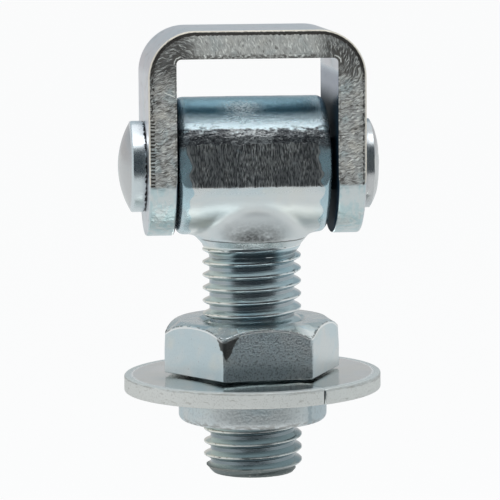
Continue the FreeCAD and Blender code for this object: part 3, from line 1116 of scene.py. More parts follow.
@dataclass(frozen=True)
class PebbledNut(ZincPlate):
    """Plate on a nut: smooth crown with painted sheen, finely pebbled front with painted shade, a
    torn line and a painted highlight along the sides' top, and a painted dark reflection at the
    front-left corner.
    """

    # Where the painted dark reflection at the front-left corner sits.
    dark_wedge: tuple[float, float, float] = (-5.2, -12.4, -50.2)
    # Painted sheen on the crown.
    painted_sheen: Colour = (0.93, 0.89, 0.83)
    pit: Colour = (0.20, 0.22, 0.23)
    fleck: Colour = (0.90, 0.90, 0.88)
    # Painted shade on the front flat.
    front_painted_shade: Colour = (0.20, 0.21, 0.22)
    # Painted highlight along the top edge of the side faces.
    ridge: Colour = (0.93, 0.93, 0.92)
    torn: Colour = (0.09, 0.08, 0.07)
    # Colour of the painted dark reflection at the front-left corner.
    wedge_painted_reflection: Colour = (0.06, 0.055, 0.05)

    def surface(self, graph: Graph, place: Value) -> Surface:
        """Pebble the front flat and paint shade on it, paint sheen on the crown, a highlight along
        the sides' top and a dark reflection at the front-left corner.

        Args:
            graph: The material's nodes.
            place: The point on the piece in mm.

        Returns:
            Colour, roughness, height and metal at that point.
        """
        plate = super().surface(graph, place)
        side, rim = graph.attribute("side"), graph.attribute("arc")
        # Painted sheen in patches on the crown.
        crown_sheen = graph.noise(place, 1.8, (2.0, 0.7, 1.0), detail=2.0).rise(0.40, 0.62)
        crown_sheen = crown_sheen * (1.0 - side) * place.part(2).rise(-49.0, -47.5)
        front = place.part(1).rise(-10.5, -11.6) * abs(place.part(0) - 2.5).rise(8.6, 7.4)
        rough = side * (0.08 + front * 0.92)
        # A painted dark reflection in a wedge at the front-left corner.
        from_wedge = place.moved((-self.dark_wedge[0], -self.dark_wedge[1], 0.0)).girth()
        wedge_fray = graph.noise(place, 0.9, detail=2.0) - 0.5
        dark_wedge = ((place.part(2) - self.dark_wedge[2]) * 0.42 + wedge_fray - from_wedge).rise(-0.10, 0.12)
        pebble = graph.noise(place, 0.26, detail=2.0)
        fine = graph.noise(place, 0.16, detail=1.0)
        frayed = graph.noise(place, 0.5, detail=2.0)
        torn = rim.rise(0.80, 0.92) * frayed.rise(0.46, 0.54)
        coats = [
            # Painted sheen on the crown.
            (crown_sheen * 0.6, self.painted_sheen),
            (pebble.rise(0.52, 0.34) * rough * 0.76, self.pit),
            (fine.rise(0.60, 0.72) * rough * 0.5, self.fleck),
            # Painted shade on the front flat.
            (rough.rise(0.30, 0.90) * 0.30, self.front_painted_shade),
            # Painted highlight along the sides' top edge.
            (rim.band(0.30, 0.62, 0.08) * side.rise(0.0, 0.6), self.ridge),
            (torn * 0.8, self.torn),
            # Painted dark reflection at the front-left corner.
            (dark_wedge * side * 0.92, self.wedge_painted_reflection),
        ]
        relief = ((pebble - 0.5) * 0.10 + (fine - 0.5) * 0.02) * rough - torn * 0.04
        return plate.under(graph, Layer(coats, side * 0.08, relief, rough * -0.12))


@dataclass(frozen=True)
class StampedWasher(ZincPlate):
    """Plate on a stamped washer: glossy faces, a rolled border painted lighter with a highlight
    line, and a dull, faintly soiled rim.
    """

    top: float = -53.25
    radius: float = 19.9
    blue: Colour = (0.66, 0.69, 0.68)
    grey: Colour = (0.70, 0.70, 0.66)
    sheared: Colour = (0.56, 0.56, 0.54)
    rim_tone: Colour = (0.70, 0.685, 0.65)
    soil: Colour = (0.31, 0.28, 0.24)
    # The rolled border is painted lighter and the ridge is a painted highlight line, for a rounded
    # edge wider than the mesh has.
    rolled: Colour = (0.72, 0.72, 0.70)
    ridge: Colour = (0.95, 0.95, 0.94)

    def surface(self, graph: Graph, place: Value) -> Surface:
        """Add the rim, and the rolled border inside it painted lighter with a highlight line, to
        the plate.

        Args:
            graph: The material's nodes.
            place: The point on the piece in mm.

        Returns:
            Colour, roughness, height and metal at that point.
        """
        radius = place.girth()
        rim = radius.rise(self.radius - 0.16, self.radius - 0.08)
        low = self.top - place.part(2)
        edge = graph.noise(place, 1.1, (1, 1, 0.6), detail=3.0)
        reach = self.radius - radius - (edge - 0.5) * 0.5
        top = low.rise(0.60, 0.40)
        # The rolled border painted lighter and matt, with a painted highlight line at its inner
        # edge.
        roll = reach.rise(1.25, 0.90) * (1.0 - rim) * top
        crest = reach.band(1.05, 1.35, 0.10) * top
        face = super().surface(graph, place)
        face = face.under(graph, Layer([(roll * 0.7, self.rolled), (crest * 0.7, self.ridge)]))
        found = face.joined(graph, self._rim(graph, place, low, edge), rim)
        metal = 1.0 - rim * 0.75 - roll * 0.45 - crest * 0.40 * (1.0 - roll)
        return Surface(found.colour, found.roughness + roll * 0.30, found.height, metal)

    def _rim(self, graph: Graph, place: Value, low: Value, edge: Value) -> Surface:
        """Give the rim, smooth where it was sheared and rough where it broke.

        Args:
            graph: The material's nodes.
            place: The point on the piece in mm.
            low: How far it lies under the washer's top.
            edge: The noise that frays the line between the two.

        Returns:
            Colour, roughness and height of the rim.
        """
        broken = (low + (edge - 0.5) * 0.8).rise(0.42, 0.72)
        grit = graph.noise(place, 0.22, detail=2.0)
        marks = graph.noise(place, 0.5, (3.0, 3.0, 0.7), detail=2.0, warp=0.5)
        crease = (low + (edge - 0.5) * 0.6).band(0.34, 0.62, 0.08) * marks.rise(0.44, 0.52)
        colour = graph.paint(
            self.sheared,
            (broken, self.rim_tone),
            (marks.rise(0.60, 0.74) * 0.45, self.soil),
            (grit.rise(0.46, 0.34) * 0.3, self.soil),
            (crease * 0.35, self.soil),
        )
        height = (grit - 0.5) * 0.02 + (edge - 0.5) * 0.05 + broken * 0.02
        return Surface(colour, 0.46 + grit * 0.1, height)


@dataclass(frozen=True)
class CastBush(ZincPlate):
    """Dull pebbled plate on the weld-in bush."""

    shaded: Colour = (0.48, 0.57, 0.61)
    # Painted shade in a band on the front right.
    right_band_shade: Colour = (0.26, 0.34, 0.38)
    pit: Colour = (0.30, 0.31, 0.31)

    def surface(self, graph: Graph, place: Value) -> Surface:
        """Pebble the plate all over, and paint shade on its right side and a shaded band on its
        front right.

        Args:
            graph: The material's nodes.
            place: The point on the piece in mm.

        Returns:
            Colour, roughness, height and metal at that point.
        """
        plate = super().surface(graph, place)
        pebble = graph.noise(place, 0.36, detail=3.0)
        marks = graph.noise(place, 0.5, (2.0, 2.0, 1.0), detail=3.0)
        foot = place.part(2).rise(-59.6, -60.5) * place.girth().rise(10.0, 10.6)
        # A painted shade band on the front right.
        right_band = (place.part(0) + (marks - 0.5) * 0.8).band(7.6, 8.3, 0.2)
        coats = [
            (place.part(0).rise(6.0, 9.5) * 0.8, self.shaded),
            (right_band * place.part(1).rise(0.0, -1.0) * 0.5, self.right_band_shade),
            (pebble.rise(0.52, 0.34) * 0.25, self.pit),
            (foot * marks.rise(0.58, 0.44) * 0.6, self.stain),
        ]
        relief = (pebble - 0.5) * 0.06 + foot * (marks - 0.5) * 0.12
        return plate.under(graph, Layer(coats, 0.0, relief, -0.15))


# Pieces


@dataclass
class Piece:
    """One physical piece of the hinge."""

    name: str
    body: str
    slot: str
    finish: ZincPlate

    def shape(self) -> bmesh.types.BMesh:
        """Build the piece's mesh in mm."""
        raise NotImplementedError

    def make(self) -> bpy.types.Object:
        """Build the piece, dress it and hang it on its body in place of its solid.

        Returns:
            The finished object, in metres at the origin.
        """
        bm = self.shape()
        bmesh.ops.scale(bm, vec=(MM, MM, MM), verts=bm.verts)
        item = to_object(bm, self.name + "_dressed")
        item.data.shade_smooth()
        item.data.set_sharp_from_angle(angle=math.radians(32))
        item.data.materials.append(self.finish.material())
        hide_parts(self.name)
        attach(item, self.body)
        log.info("%s: %d faces on body %s", item.name, len(item.data.polygons), self.body)
        return item


@dataclass
class Yoke(Piece):
    """The flat bar bent to a U, sheared along both long edges."""

    half_width: float = 10.7
    thickness: float = 4.3
    half_span: float = 16.5
    bend: float = 7.2
    inner_bend: float = 0.7
    edge_round: float = 0.35
    bridge_columns: int = 84
    bend_columns: int = 48
    leg_columns: int = 110
    rows: int = 20
    layers: int = 30

    @property
    def straight(self) -> float:
        """Half the length of the bridge's flat part."""
        return self.half_span - self.bend

    def _station(self, share: float) -> tuple[str, float]:
        """Say which stretch of half the bar a column lies on, and how far along it.

        Args:
            share: The column's place from the bridge's centre, 0, to the ear's end, 1.

        Returns:
            bridge, bend or leg, and the share of it.
        """
        half = self.bridge_columns / 2 + self.bend_columns + self.leg_columns
        column = share * half
        if column <= self.bridge_columns / 2:
            return "bridge", column / (self.bridge_columns / 2)
        column -= self.bridge_columns / 2
        if column <= self.bend_columns:
            return "bend", column / self.bend_columns
        return "leg", (column - self.bend_columns) / self.leg_columns

    def _outer(self, stretch: str, share: float, foot: float) -> tuple[float, float]:
        """Give a point of the U's outside, as X and Z of its right half.

        Args:
            stretch: bridge, bend or leg.
            share: How far along that stretch the point lies, from 0 to 1.
            foot: The height at which the ear ends there, in mm.

        Returns:
            The point's X and Z.
        """
        if stretch == "bridge":
            return share * self.straight, 0.0
        if stretch == "bend":
            angle = math.radians(90 * (1 - share))
            reach = self.straight + self.bend * math.cos(angle)
            return reach, self.bend * (math.sin(angle) - 1)
        return self.half_span, -self.bend + share * (foot + self.bend)

    def _inner(self, stretch: str, share: float, foot: float) -> tuple[float, float]:
        """Give a point of the U's inside, as X and Z of its right half.

        Args:
            stretch: bridge, bend or leg.
            share: How far along that stretch the point lies, from 0 to 1.
            foot: The height at which the ear ends there, in mm.

        Returns:
            The point's X and Z.
        """
        wall = self.half_span - self.thickness
        if stretch == "bridge":
            return share * self.straight, -self.thickness
        if stretch == "bend":
            run = wall - self.inner_bend - self.straight
            drop = self.bend - self.thickness - self.inner_bend
            quarter = self.inner_bend * math.pi / 2
            way = share * (run + quarter + drop)
            if way <= run:
                return self.straight + way, -self.thickness
            if way <= run + quarter:
                angle = (way - run) / self.inner_bend
                reach = wall - self.inner_bend + self.inner_bend * math.sin(angle)
                return reach, -self.thickness - self.inner_bend * (1 - math.cos(angle))
            return wall, -self.thickness - self.inner_bend - (way - run - quarter)
        return wall, -self.bend + share * (foot + self.bend)

    def _section(self, across: float, depth: float) -> tuple[float, float]:
        """Pull a point of the bar's square section onto its rounded corners.

        Args:
            across: Its distance from the bar's middle line, outwards.
            depth: Its distance from the bar's middle towards a long edge.

        Returns:
            The two distances of the pulled point.
        """
        half = self.thickness / 2
        high = abs(across) - (half - self.edge_round)
        wide = abs(depth) - (self.half_width - self.edge_round)
        if high <= 0 or wide <= 0:
            return across, depth
        length = math.hypot(high, wide)
        if length <= self.edge_round:
            return across, depth
        pull = self.edge_round / length
        return (
            math.copysign(half - self.edge_round + high * pull, across),
            math.copysign(self.half_width - self.edge_round + wide * pull, depth),
        )

    def _relief(self, along: float, across: float, depth: float) -> float:
        """Say how deep the torn shear surface lies at a point of the long edge.

        Args:
            along: The point's distance from the bridge's centre along the bar.
            across: Its distance from the bar's inner face.
            depth: Its distance from the bar's middle towards a long edge.

        Returns:
            The depth in mm.
        """
        place = Vector((along, across, depth * 3))
        on_edge = ease(36.5, 34.0, abs(along))
        torn = 0.030 + 0.030 * ripple(place, 0.8, (1.0, 2.2, 1.0))
        torn += 0.030 * ripple(place, 0.40, (1.0, 2.5, 1.0))
        middle = self.thickness - 0.42 + 0.10 * ripple(place, 0.6, (1.0, 50.0, 1.0))
        burr = max(0.0, 1 - abs(across - middle) / 0.20)
        return on_edge * (max(torn, 0.0) + 0.13 * burr)

    def shape(self) -> bmesh.types.BMesh:
        """Bend a finely divided bar to the U, round its ears and drill them.

        Returns:
            The yoke's mesh in mm.
        """
        bm = bmesh.new()
        bmesh.ops.create_cube(bm, size=2)
        columns = self.bridge_columns + 2 * (self.bend_columns + self.leg_columns)
        for axis, count in ((0, columns), (1, self.layers), (2, self.rows)):
            edges = [
                edge
                for edge in bm.edges
                if abs(edge.verts[0].co[axis] - edge.verts[1].co[axis]) > 1.5
            ]
            bmesh.ops.subdivide_edges(bm, edges=edges, cuts=count - 1, use_grid_fill=True)
        half = self.thickness / 2
        for vert in bm.verts:
            side, layer, row = vert.co
            flat = abs(layer) > 0.999
            across = half * math.sin(row * math.pi / 2)
            depth = self.half_width * math.sin(layer * math.pi / 2)
            across, depth = self._section(across, depth)
            trim = max(abs(across) - (half - self.edge_round), 0.0)
            inset = self.edge_round - math.sqrt(max(self.edge_round**2 - trim**2, 0.0))
            radius = self.half_width - inset
            foot = PIVOT.z - math.sqrt(max(radius**2 - depth**2, 0.0))
            stretch, share = self._station(abs(side))
            outer = Vector(self._outer(stretch, share, foot))
            inner = Vector(self._inner(stretch, share, foot))
            spot = inner.lerp(outer, across / self.thickness + 0.5)
            spot.x = math.copysign(spot.x, side)
            if flat:
                along = self.length_at(spot.x, spot.y)
                depth -= math.copysign(self._relief(along, across + half, depth), depth)
            vert.co = (spot.x, depth, spot.y)
        tidy(bm)
        hole = turned([(-20, 0), (20, 0), (20, 4), (-20, 4)], Axis.PIN, 48)
        bmesh.ops.translate(hole, vec=PIVOT, verts=hole.verts)
        bm = tidy(combined(bm, tidy(hole), "DIFFERENCE"))
        self._mark(bm)
        return bm

    def length_at(self, reach: float, height: float) -> float:
        """Give the distance along the bar's middle line from the bridge's centre.

        Args:
            reach: A point's X in mm.
            height: Its Z in mm.

        Returns:
            The distance in mm, below 0 on the left.
        """
        side = math.copysign(1.0, reach)
        middle = self.bend - self.thickness / 2
        if abs(reach) <= self.straight:
            return reach
        if height >= -self.bend:
            angle = math.atan2(abs(reach) - self.straight, height + self.bend)
            return side * (self.straight + middle * angle)
        return side * (self.straight + middle * math.pi / 2 - self.bend - height)

    def _mark(self, bm: bmesh.types.BMesh) -> None:
        """Store each vertex's place along and across the bar for the finish.

        Args:
            bm: The yoke's mesh in mm.
        """
        layer = bm.verts.layers.float_vector.new("bar")
        wall = self.half_span - self.thickness
        for vert in bm.verts:
            reach, height = abs(vert.co.x), vert.co.z
            if reach <= self.straight:
                across = height + self.thickness
            elif height < -self.bend:
                across = reach - wall
            else:
                middle = math.hypot(reach - self.straight, height + self.bend)
                across = middle - self.bend + self.thickness
            vert[layer] = (self.length_at(vert.co.x, height), across, 0.0)


@dataclass
class PivotPin(Piece):
    """The riveted pin: a domed head on the left, a shank and the riveted end on the right."""

    ear: float = 16.5
    shank: float = 4.0
    head: float = 7.0
    head_height: float = 4.0
    dome: float = 13.5
    rivet: float = 6.95
    rivet_height: float = 2.9
    rivet_flat: float = 3.0
    shoulder: float = 7.4
    lift: float = 0.06
    steps: int = 120

    def shape(self) -> bmesh.types.BMesh:
        """Turn the pin about its axis and hammer its riveted end.

        Returns:
            The pin's mesh in mm.
        """
        tip = self.ear + self.head_height
        centre = -tip + self.dome
        edge = math.degrees(math.asin((self.head - 0.35) / self.dome))
        dome = arc((centre, 0), self.dome, 180, 180 - edge, 22)
        turn = arc((dome[-1][0] + 0.42, self.head - 0.45), 0.45, 140, 90, 6)
        rim = [(-self.ear - 0.5, self.head), (-self.ear - 0.2, self.head - 0.04)]
        under = [(-self.ear - self.lift, self.head - 0.15), (-self.ear, self.head - 0.9)]
        left = dome + turn + rim + under + [(-self.ear, self.shank)]
        end = self.ear + self.rivet_height
        reach = self.rivet - self.rivet_flat
        sweep = math.degrees(math.asin(reach / self.shoulder))
        curve = arc((end - self.shoulder, self.rivet_flat), self.shoulder, sweep, 0, 12)
        right = [
            (self.ear, self.shank),
            (self.ear, self.rivet - 1.3),
            (self.ear + 0.08, self.rivet - 0.1),
            (self.ear + 0.25, self.rivet),
        ]
        disc = [(end, self.rivet_flat * n / 5) for n in (4, 3, 2, 1)]
        bm = turned(left + right + curve + disc + [(end, 0)], Axis.PIN, self.steps)
        tidy(bm)
        for vert in bm.verts:
            radius = math.hypot(vert.co.y, vert.co.z)
            if vert.co.x > self.ear + 0.05:
                dent = 0.05 * ripple(vert.co, 1.6) + 0.03 * ripple(vert.co, 0.7)
                vert.co.x -= max(dent + 0.02, 0.0)
                if radius > 1.0:
                    shrink = 1 - 0.012 * (1 + ripple(vert.co, 2.5))
                    vert.co.yz = Vector((vert.co.y, vert.co.z)) * shrink
            elif vert.co.x < -self.ear - 0.2 and radius > 1.0:
                vert.co.x += max(0.02 * ripple(vert.co, 2.8), 0.0)
        bmesh.ops.translate(bm, vec=PIVOT, verts=bm.verts)
        return bm


@dataclass
class EyeStud(Piece):
    """The forged eye with its neck and the rolled thread."""

    radius: float = 10.6
    left: float = -11.9
    right: float = 11.3
    end_round: float = 1.3
    bore: float = 4.075
    chamfer: float = 0.5
    flat: float = 9.92
    flat_tilt: float = 7.5
    neck: float = 8.7
    neck_end: float = -32.15
    cone_end: float = -33.35
    run_out: tuple[float, float] = (-35.3, -33.2)
    thread: float = 7.65
    thread_depth: float = 1.08
    pitch: float = 2.0
    stud_end: float = -68.95
    tip_depth: float = 1.35
    tip_length: float = 1.5
    voxel: float = 0.24
    blend_passes: int = 30
    blend_reach: float = 2.2
    steps: int = 96
    crest_turn: float = 142.0

    def _barrel(self) -> bmesh.types.BMesh:
        """Turn the eye's barrel about the pin and trim its two flats.

        Returns:
            The barrel's mesh in mm.
        """
        mouth, reach = self.bore + self.chamfer, self.radius - self.end_round
        profile = [
            (self.left, mouth),
            *arc((self.left + self.end_round, reach), self.end_round, 180, 90, 7),
            *arc((self.right - self.end_round, reach), self.end_round, 90, 0, 7),
            (self.right, mouth),
            (self.right - self.chamfer, self.bore),
            (self.left + self.chamfer, self.bore),
        ]
        bm = tidy(turned(profile, Axis.PIN, 128))
        tilt = math.radians(self.flat_tilt)
        for side in (-1, 1):
            normal = Vector((0, side * math.cos(tilt), math.sin(tilt)))
            bmesh.ops.contextual_create(bm, geom=sliced(bm, normal * self.flat, normal))
        bmesh.ops.translate(bm, vec=PIVOT, verts=bm.verts)
        return tidy(bm)

    def _neck(self) -> bmesh.types.BMesh:
        """Turn the neck and the cone under it.

        Returns:
            The neck's mesh in mm.
        """
        top = PIVOT.z - 6.0
        slope = (self.neck - self.thread) / (self.neck_end - self.cone_end)
        inner = self.thread - 0.3 * slope
        profile = [
            (top, 0),
            (top, self.neck),
            (self.neck_end, self.neck),
            (self.cone_end - 0.3, inner),
            (self.cone_end - 0.3, 0),
        ]
        return tidy(turned(profile, Axis.STUD, 128))

    def _head(self) -> bmesh.types.BMesh:
        """Join barrel and neck to one forging and blend their corner.

        Returns:
            The forging's mesh in mm, without the stud.
        """
        joined = combined(self._barrel(), self._neck(), "UNION")
        item = to_object(joined, "forging")
        modifier = item.modifiers.new("even", "REMESH")
        modifier.mode = "VOXEL"
        modifier.voxel_size = self.voxel
        bm = applied(item)
        for number in range(self.blend_passes):
            reach = self.blend_reach * (1 - 0.6 * number / self.blend_passes)
            near = [vert for vert in bm.verts if self._corner_distance(vert.co) < reach]
            bmesh.ops.smooth_vert(
                bm, verts=near, factor=0.7, use_axis_x=True, use_axis_y=True, use_axis_z=True
            )
        bm.normal_update()
        moves = [(vert, vert.normal * self._forged(vert.co)) for vert in bm.verts]
        for vert, move in moves:
            vert.co += move
        return bm

    def _corner_distance(self, place: Vector) -> float:
        """Say how far a point is from the corner between the barrel and the neck.

        Args:
            place: The point in mm.

        Returns:
            The distance in mm, or 9 well above the corner.
        """
        if place.z > PIVOT.z - 3:
            return 9.0
        from_neck = abs(math.hypot(place.x, place.y) - self.neck)
        from_barrel = abs(math.hypot(place.y, place.z - PIVOT.z) - self.radius)
        return math.hypot(from_neck, from_barrel)

    def _forged(self, place: Vector) -> float:
        """Give the forging's unevenness at a point: swells, dents and the trimmed flats' tears.

        Args:
            place: The point in mm.

        Returns:
            How far the point moves outwards, in mm.
        """
        distance = math.hypot(place.y, place.z - PIVOT.z)
        if distance < self.bore + self.chamfer + 0.2:
            return 0.0
        uneven = 0.030 * ripple(place, 3.0) + 0.010 * ripple(place, 1.1)
        tilt = math.radians(self.flat_tilt)
        rise = place.z - PIVOT.z
        out = abs(place.y) * math.cos(tilt) + rise * math.sin(tilt)
        up = rise * math.cos(tilt) - abs(place.y) * math.sin(tilt)
        flat = ease(self.flat - 0.12, self.flat - 0.02, out)
        drag = 0.025 * ripple(place, 0.8, (1, 1, 6)) + 0.02 * ripple(place, 2.0, (1, 1, 3))
        edge = ease(2.4, 3.4, up) * ease(self.flat - 0.35, self.flat - 0.05, out)
        tear = 0.09 * ripple(place, 0.75, (1.6, 1, 0.9)) - 0.03
        return min(uneven * (1 - flat) + drag * flat, 0.02) - 0.02 + edge * min(tear, 0.02)

    def _form(self, share: float) -> float:
        """Give the thread's height at a share of its pitch.

        Args:
            share: The share of the pitch, 0 at the crest.

        Returns:
            The height, from 0 at the root to 1 at the crest.
        """
        away = abs((share + 0.5) % 1.0 - 0.5)
        ramp = min(max((away - 0.075) / (0.36 - 0.075), 0.0), 1.0)
        return 1 - (0.72 * ramp + 0.28 * ramp * ramp * (3 - 2 * ramp))

    def _stud(self) -> bmesh.types.BMesh:
        """Roll the thread as a helix, run it out under the neck and chamfer the tip.

        Returns:
            The stud's mesh in mm.
        """
        bm = bmesh.new()
        start = self.stud_end - 1.2 * self.pitch
        count = 16
        profile = []
        for n in range(count + 1):
            share = n / count
            height = self._form(share - 0.5)
            radius = self.thread - self.thread_depth * (1 - height)
            profile.append(Vector((radius, 0, start + share * self.pitch)))
        turns = math.ceil((self.neck_end - start) / self.pitch)
        bmesh.ops.spin(
            bm,
            geom=draw(bm, profile),
            cent=(0, 0, 0),
            axis=Axis.STUD.value,
            dvec=(0, 0, self.pitch / self.steps),
            angle=math.tau * turns,
            steps=self.steps * turns,
            use_merge=False,
        )
        bmesh.ops.remove_doubles(bm, verts=bm.verts, dist=1e-3)
        turn = Matrix.Rotation(math.radians(self.crest_turn), 3, "Z")
        bmesh.ops.rotate(bm, cent=(0, 0, 0), matrix=turn, verts=bm.verts)
        for height, normal in ((self.stud_end, (0, 0, -1)), (self.neck_end - 0.5, (0, 0, 1))):
            edges = sliced(bm, (0, 0, height), normal)
            for vert in {vert for edge in edges for vert in edge.verts}:
                vert.co.z = height
            bmesh.ops.holes_fill(bm, edges=edges, sides=0)
        crest = bm.verts.layers.float.new("crest")
        lower = bm.verts.layers.float.new("lower")
        for vert in bm.verts:
            turned_by = math.atan2(vert.co.y, vert.co.x) - math.radians(self.crest_turn)
            share = (vert.co.z - start) / self.pitch - turned_by / math.tau - 0.5
            vert[crest] = math.cos(share * math.tau)
            vert[lower] = -math.sin(share * math.tau)
            self._finish_thread(vert)
        bmesh.ops.recalc_face_normals(bm, faces=bm.faces)
        return bm

    def _finish_thread(self, vert: bmesh.types.BMVert) -> None:
        """Run the groove out near the neck, chamfer the tip and roughen the crest a little.

        Args:
            vert: The vertex to move.
        """
        radius = math.hypot(vert.co.x, vert.co.y)
        if radius < 1e-6:
            return
        crest = ease(self.thread - 0.35, self.thread, radius)
        wanted = radius - crest * 0.03 * (1 + ripple(vert.co, 1.3))
        root = self.thread - self.thread_depth
        filled = root + (self.thread - root) * ease(*self.run_out, vert.co.z)
        wanted = max(wanted, filled)
        up = vert.co.z - self.stud_end
        if up < self.tip_length + 1.0:
            dent = 0.10 * ripple(vert.co, 1.3) + 0.05 * ripple(vert.co, 0.6)
            cone = self.thread - self.tip_depth + up * self.tip_depth / self.tip_length
            wanted = min(wanted, cone + min(dent, 0.0))
        vert.co.xy = Vector((vert.co.x, vert.co.y)) * (wanted / radius)

    def shape(self) -> bmesh.types.BMesh:
        """Put the forged head and the threaded stud into one mesh.

        Returns:
            The forging's mesh in mm.
        """
        head, stud = self._head(), self._stud()
        part = bpy.data.meshes.new("stud")
        stud.to_mesh(part)
        stud.free()
        head.from_mesh(part)
        bpy.data.meshes.remove(part)
        return head


@dataclass
class LockNut(Piece):
    """The thin hexagon nut, crowned on top and flat underneath."""

    top: float = -45.0
    bottom: float = -53.0
    bore: float = 7.72
    countersink: float = 0.7
    flat: float = 12.0
    crown: float = 11.55
    crown_slope: float = 14.0
    crown_curve: float = 0.28
    corner_rounds: tuple[float, ...] = (1.1, 0.7, 0.9, 0.8, 1.5, 1.2)
    turn: float = 5.5
    wall_rings: int = 14
    per_side: int = 24

    def _hexagon(self, angle: float, height: float) -> float:
        """Give the distance of the nut's side from its axis.

        Args:
            angle: The angle about the axis in degrees, 0 at a corner.
            height: The height, from 0 at the bottom to 1 at the top.

        Returns:
            The distance in mm.
        """
        corner = (angle + 30.0) % 60.0 - 30.0
        top = self.corner_rounds[round(angle / 60.0) % 6]
        soft = 0.30 + top * ease(0.50, 1.0, height)
        away = 30.0 - abs(corner)
        radius = self.flat / math.cos(math.radians(away))
        limit = self.flat / math.cos(math.radians(30)) - 0.155 * soft
        reach = soft * math.tan(math.radians(30))
        offset = abs(radius * math.sin(math.radians(abs(corner))))
        if offset < reach:
            limit -= soft - math.sqrt(max(soft**2 - offset**2, 0.0))
            return min(radius, limit)
        return radius

    def shape(self) -> bmesh.types.BMesh:
        """Turn the nut's profile and press its outside to a hexagon.

        Returns:
            The nut's mesh in mm.
        """
        mouth = self.bore + self.countersink
        corner = self.flat / math.cos(math.radians(30))
        inside = [
            (self.bottom, mouth),
            (self.bottom + self.countersink, self.bore),
            (self.top - self.countersink, self.bore),
            (self.top, mouth),
            (self.top, (mouth + self.crown) / 2),
            (self.top, self.crown),
        ]
        wall = [
            (self.top + (self.bottom - self.top) * n / self.wall_rings, corner + 5 + n)
            for n in range(self.wall_rings + 1)
        ]
        under = [(self.bottom, corner + 30), (self.bottom, self.crown)]
        bm = tidy(turned(inside + wall + under, Axis.STUD, 6 * self.per_side))
        side = bm.verts.layers.float.new("side")
        rim = bm.verts.layers.float.new("arc")
        for vert in bm.verts:
            radius = math.hypot(vert.co.x, vert.co.y)
            angle = math.degrees(math.atan2(vert.co.y, vert.co.x)) % 360
            face = math.floor(angle / 60 + 1e-6) * 60 + 30
            angle = face + 30 * math.sin(math.radians((angle - face) * 3))
            if radius > corner + 4:
                ring = round(radius - corner - 5)
                below = ring > self.wall_rings
                share = 1 - min(ring, self.wall_rings) / self.wall_rings
                radius = self._hexagon(angle, share)
                slope = math.tan(math.radians(self.crown_slope))
                beyond = max(radius - self.crown, 0.0)
                crest = self.top - beyond * slope - self.crown_curve * beyond**2
                height = self.bottom + share * (crest - self.bottom)
                if below:
                    radius -= 0.14
                elif share == 0:
                    height = self.bottom + 0.12
                vert[side] = 0.0 if below or share == 1 else 1.0
                vert[rim] = 1.0 if share == 1 else 0.0
                vert.co.z = height
            turn = math.radians(angle)
            vert.co.xy = (radius * math.cos(turn), radius * math.sin(turn))
            if vert[side]:
                vert.co.xy *= 1 + min(0.002 * ripple(vert.co, 2.5), 0.0)
        matrix = Matrix.Rotation(math.radians(self.turn), 3, "Z")
        bmesh.ops.rotate(bm, cent=(0, 0, 0), matrix=matrix, verts=bm.verts)
        return tidy(bm)


@dataclass
class SplitWasher(Piece):
    """The large washer with a slit through one side of its ring."""

    inner: float = 10.08
    outer: float = 19.89
    top: float = -53.25
    bottom: float = -55.75
    edge: float = 0.25
    slit: float = 0.17
    droop: float = 0.16
    sink: float = 0.07
    dip: float = 0.05
    sway: float = 0.02
    nose: float = 0.10
    left_round: float = 0.10
    right_round: float = 0.16
    direction: float = 297.0
    steps: int = 180

    def shape(self) -> bmesh.types.BMesh:
        """Turn the ring, leave the slit open, and spring its ends apart a little.

        Returns:
            The washer's mesh in mm.
        """
        low, high, reach = self.bottom, self.top, self.outer - self.edge
        span = self.outer - self.inner
        top_face = [(high, self.inner + span * n / 6) for n in range(1, 6)]
        low_face = [(low, self.inner + span * n / 6) for n in range(5, 0, -1)]
        profile = [
            (low, self.inner),
            (high - 0.15, self.inner),
            (high, self.inner + 0.15),
            *top_face,
            *arc((high - self.edge, reach), self.edge, 0, 90, 5),
            (high - 0.8, self.outer - 0.02),
            (high - 1.4, self.outer),
            *arc((low + self.edge, reach), self.edge, 90, 180, 5),
            *low_face,
        ]
        bm = turned(profile, Axis.STUD, self.steps, 359.0)
        bmesh.ops.remove_doubles(bm, verts=bm.verts, dist=1e-4)
        ends = [edge for edge in bm.edges if edge.is_boundary]
        bmesh.ops.holes_fill(bm, edges=ends, sides=0)
        for vert in bm.verts:
            self._place(vert)
        return tidy(bm)

    def _place(self, vert: bmesh.types.BMVert) -> None:
        """Move a vertex to its place beside the slit, and wave the ring slightly.

        Args:
            vert: The vertex to move.
        """
        radius = math.hypot(vert.co.x, vert.co.y)
        angle = math.degrees(math.atan2(vert.co.y, vert.co.x)) % 360
        share = angle / 359.0
        half = math.degrees(math.asin(self.slit / 2 / radius))
        turn = math.radians(self.direction + half + share * (360 - 2 * half))
        from_left, from_right = (1 - share) * 360, share * 360
        lift = self.sink * (ease(14, 0, from_left) - 1) - self.dip * ease(10, 0, from_right)
        lift += self.sway * math.sin(turn * 2 + 1.0)
        radius -= self.left_round * ease(1.2, 0, from_left) ** 2
        radius -= self.right_round * ease(1.6, 0, from_right) ** 2
        if vert.co.z > self.top - 0.5:
            lift -= self.nose * ease(1.0, 0, from_right)
        sag = self.droop * (1 - math.cos(turn)) * ease(11.6, 16.0, radius)
        vert.co.xy = (radius * math.cos(turn), radius * math.sin(turn))
        vert.co.z += min(lift, 0.0) * (1.0 if vert.co.z > self.top - 1.0 else 0.4) - sag


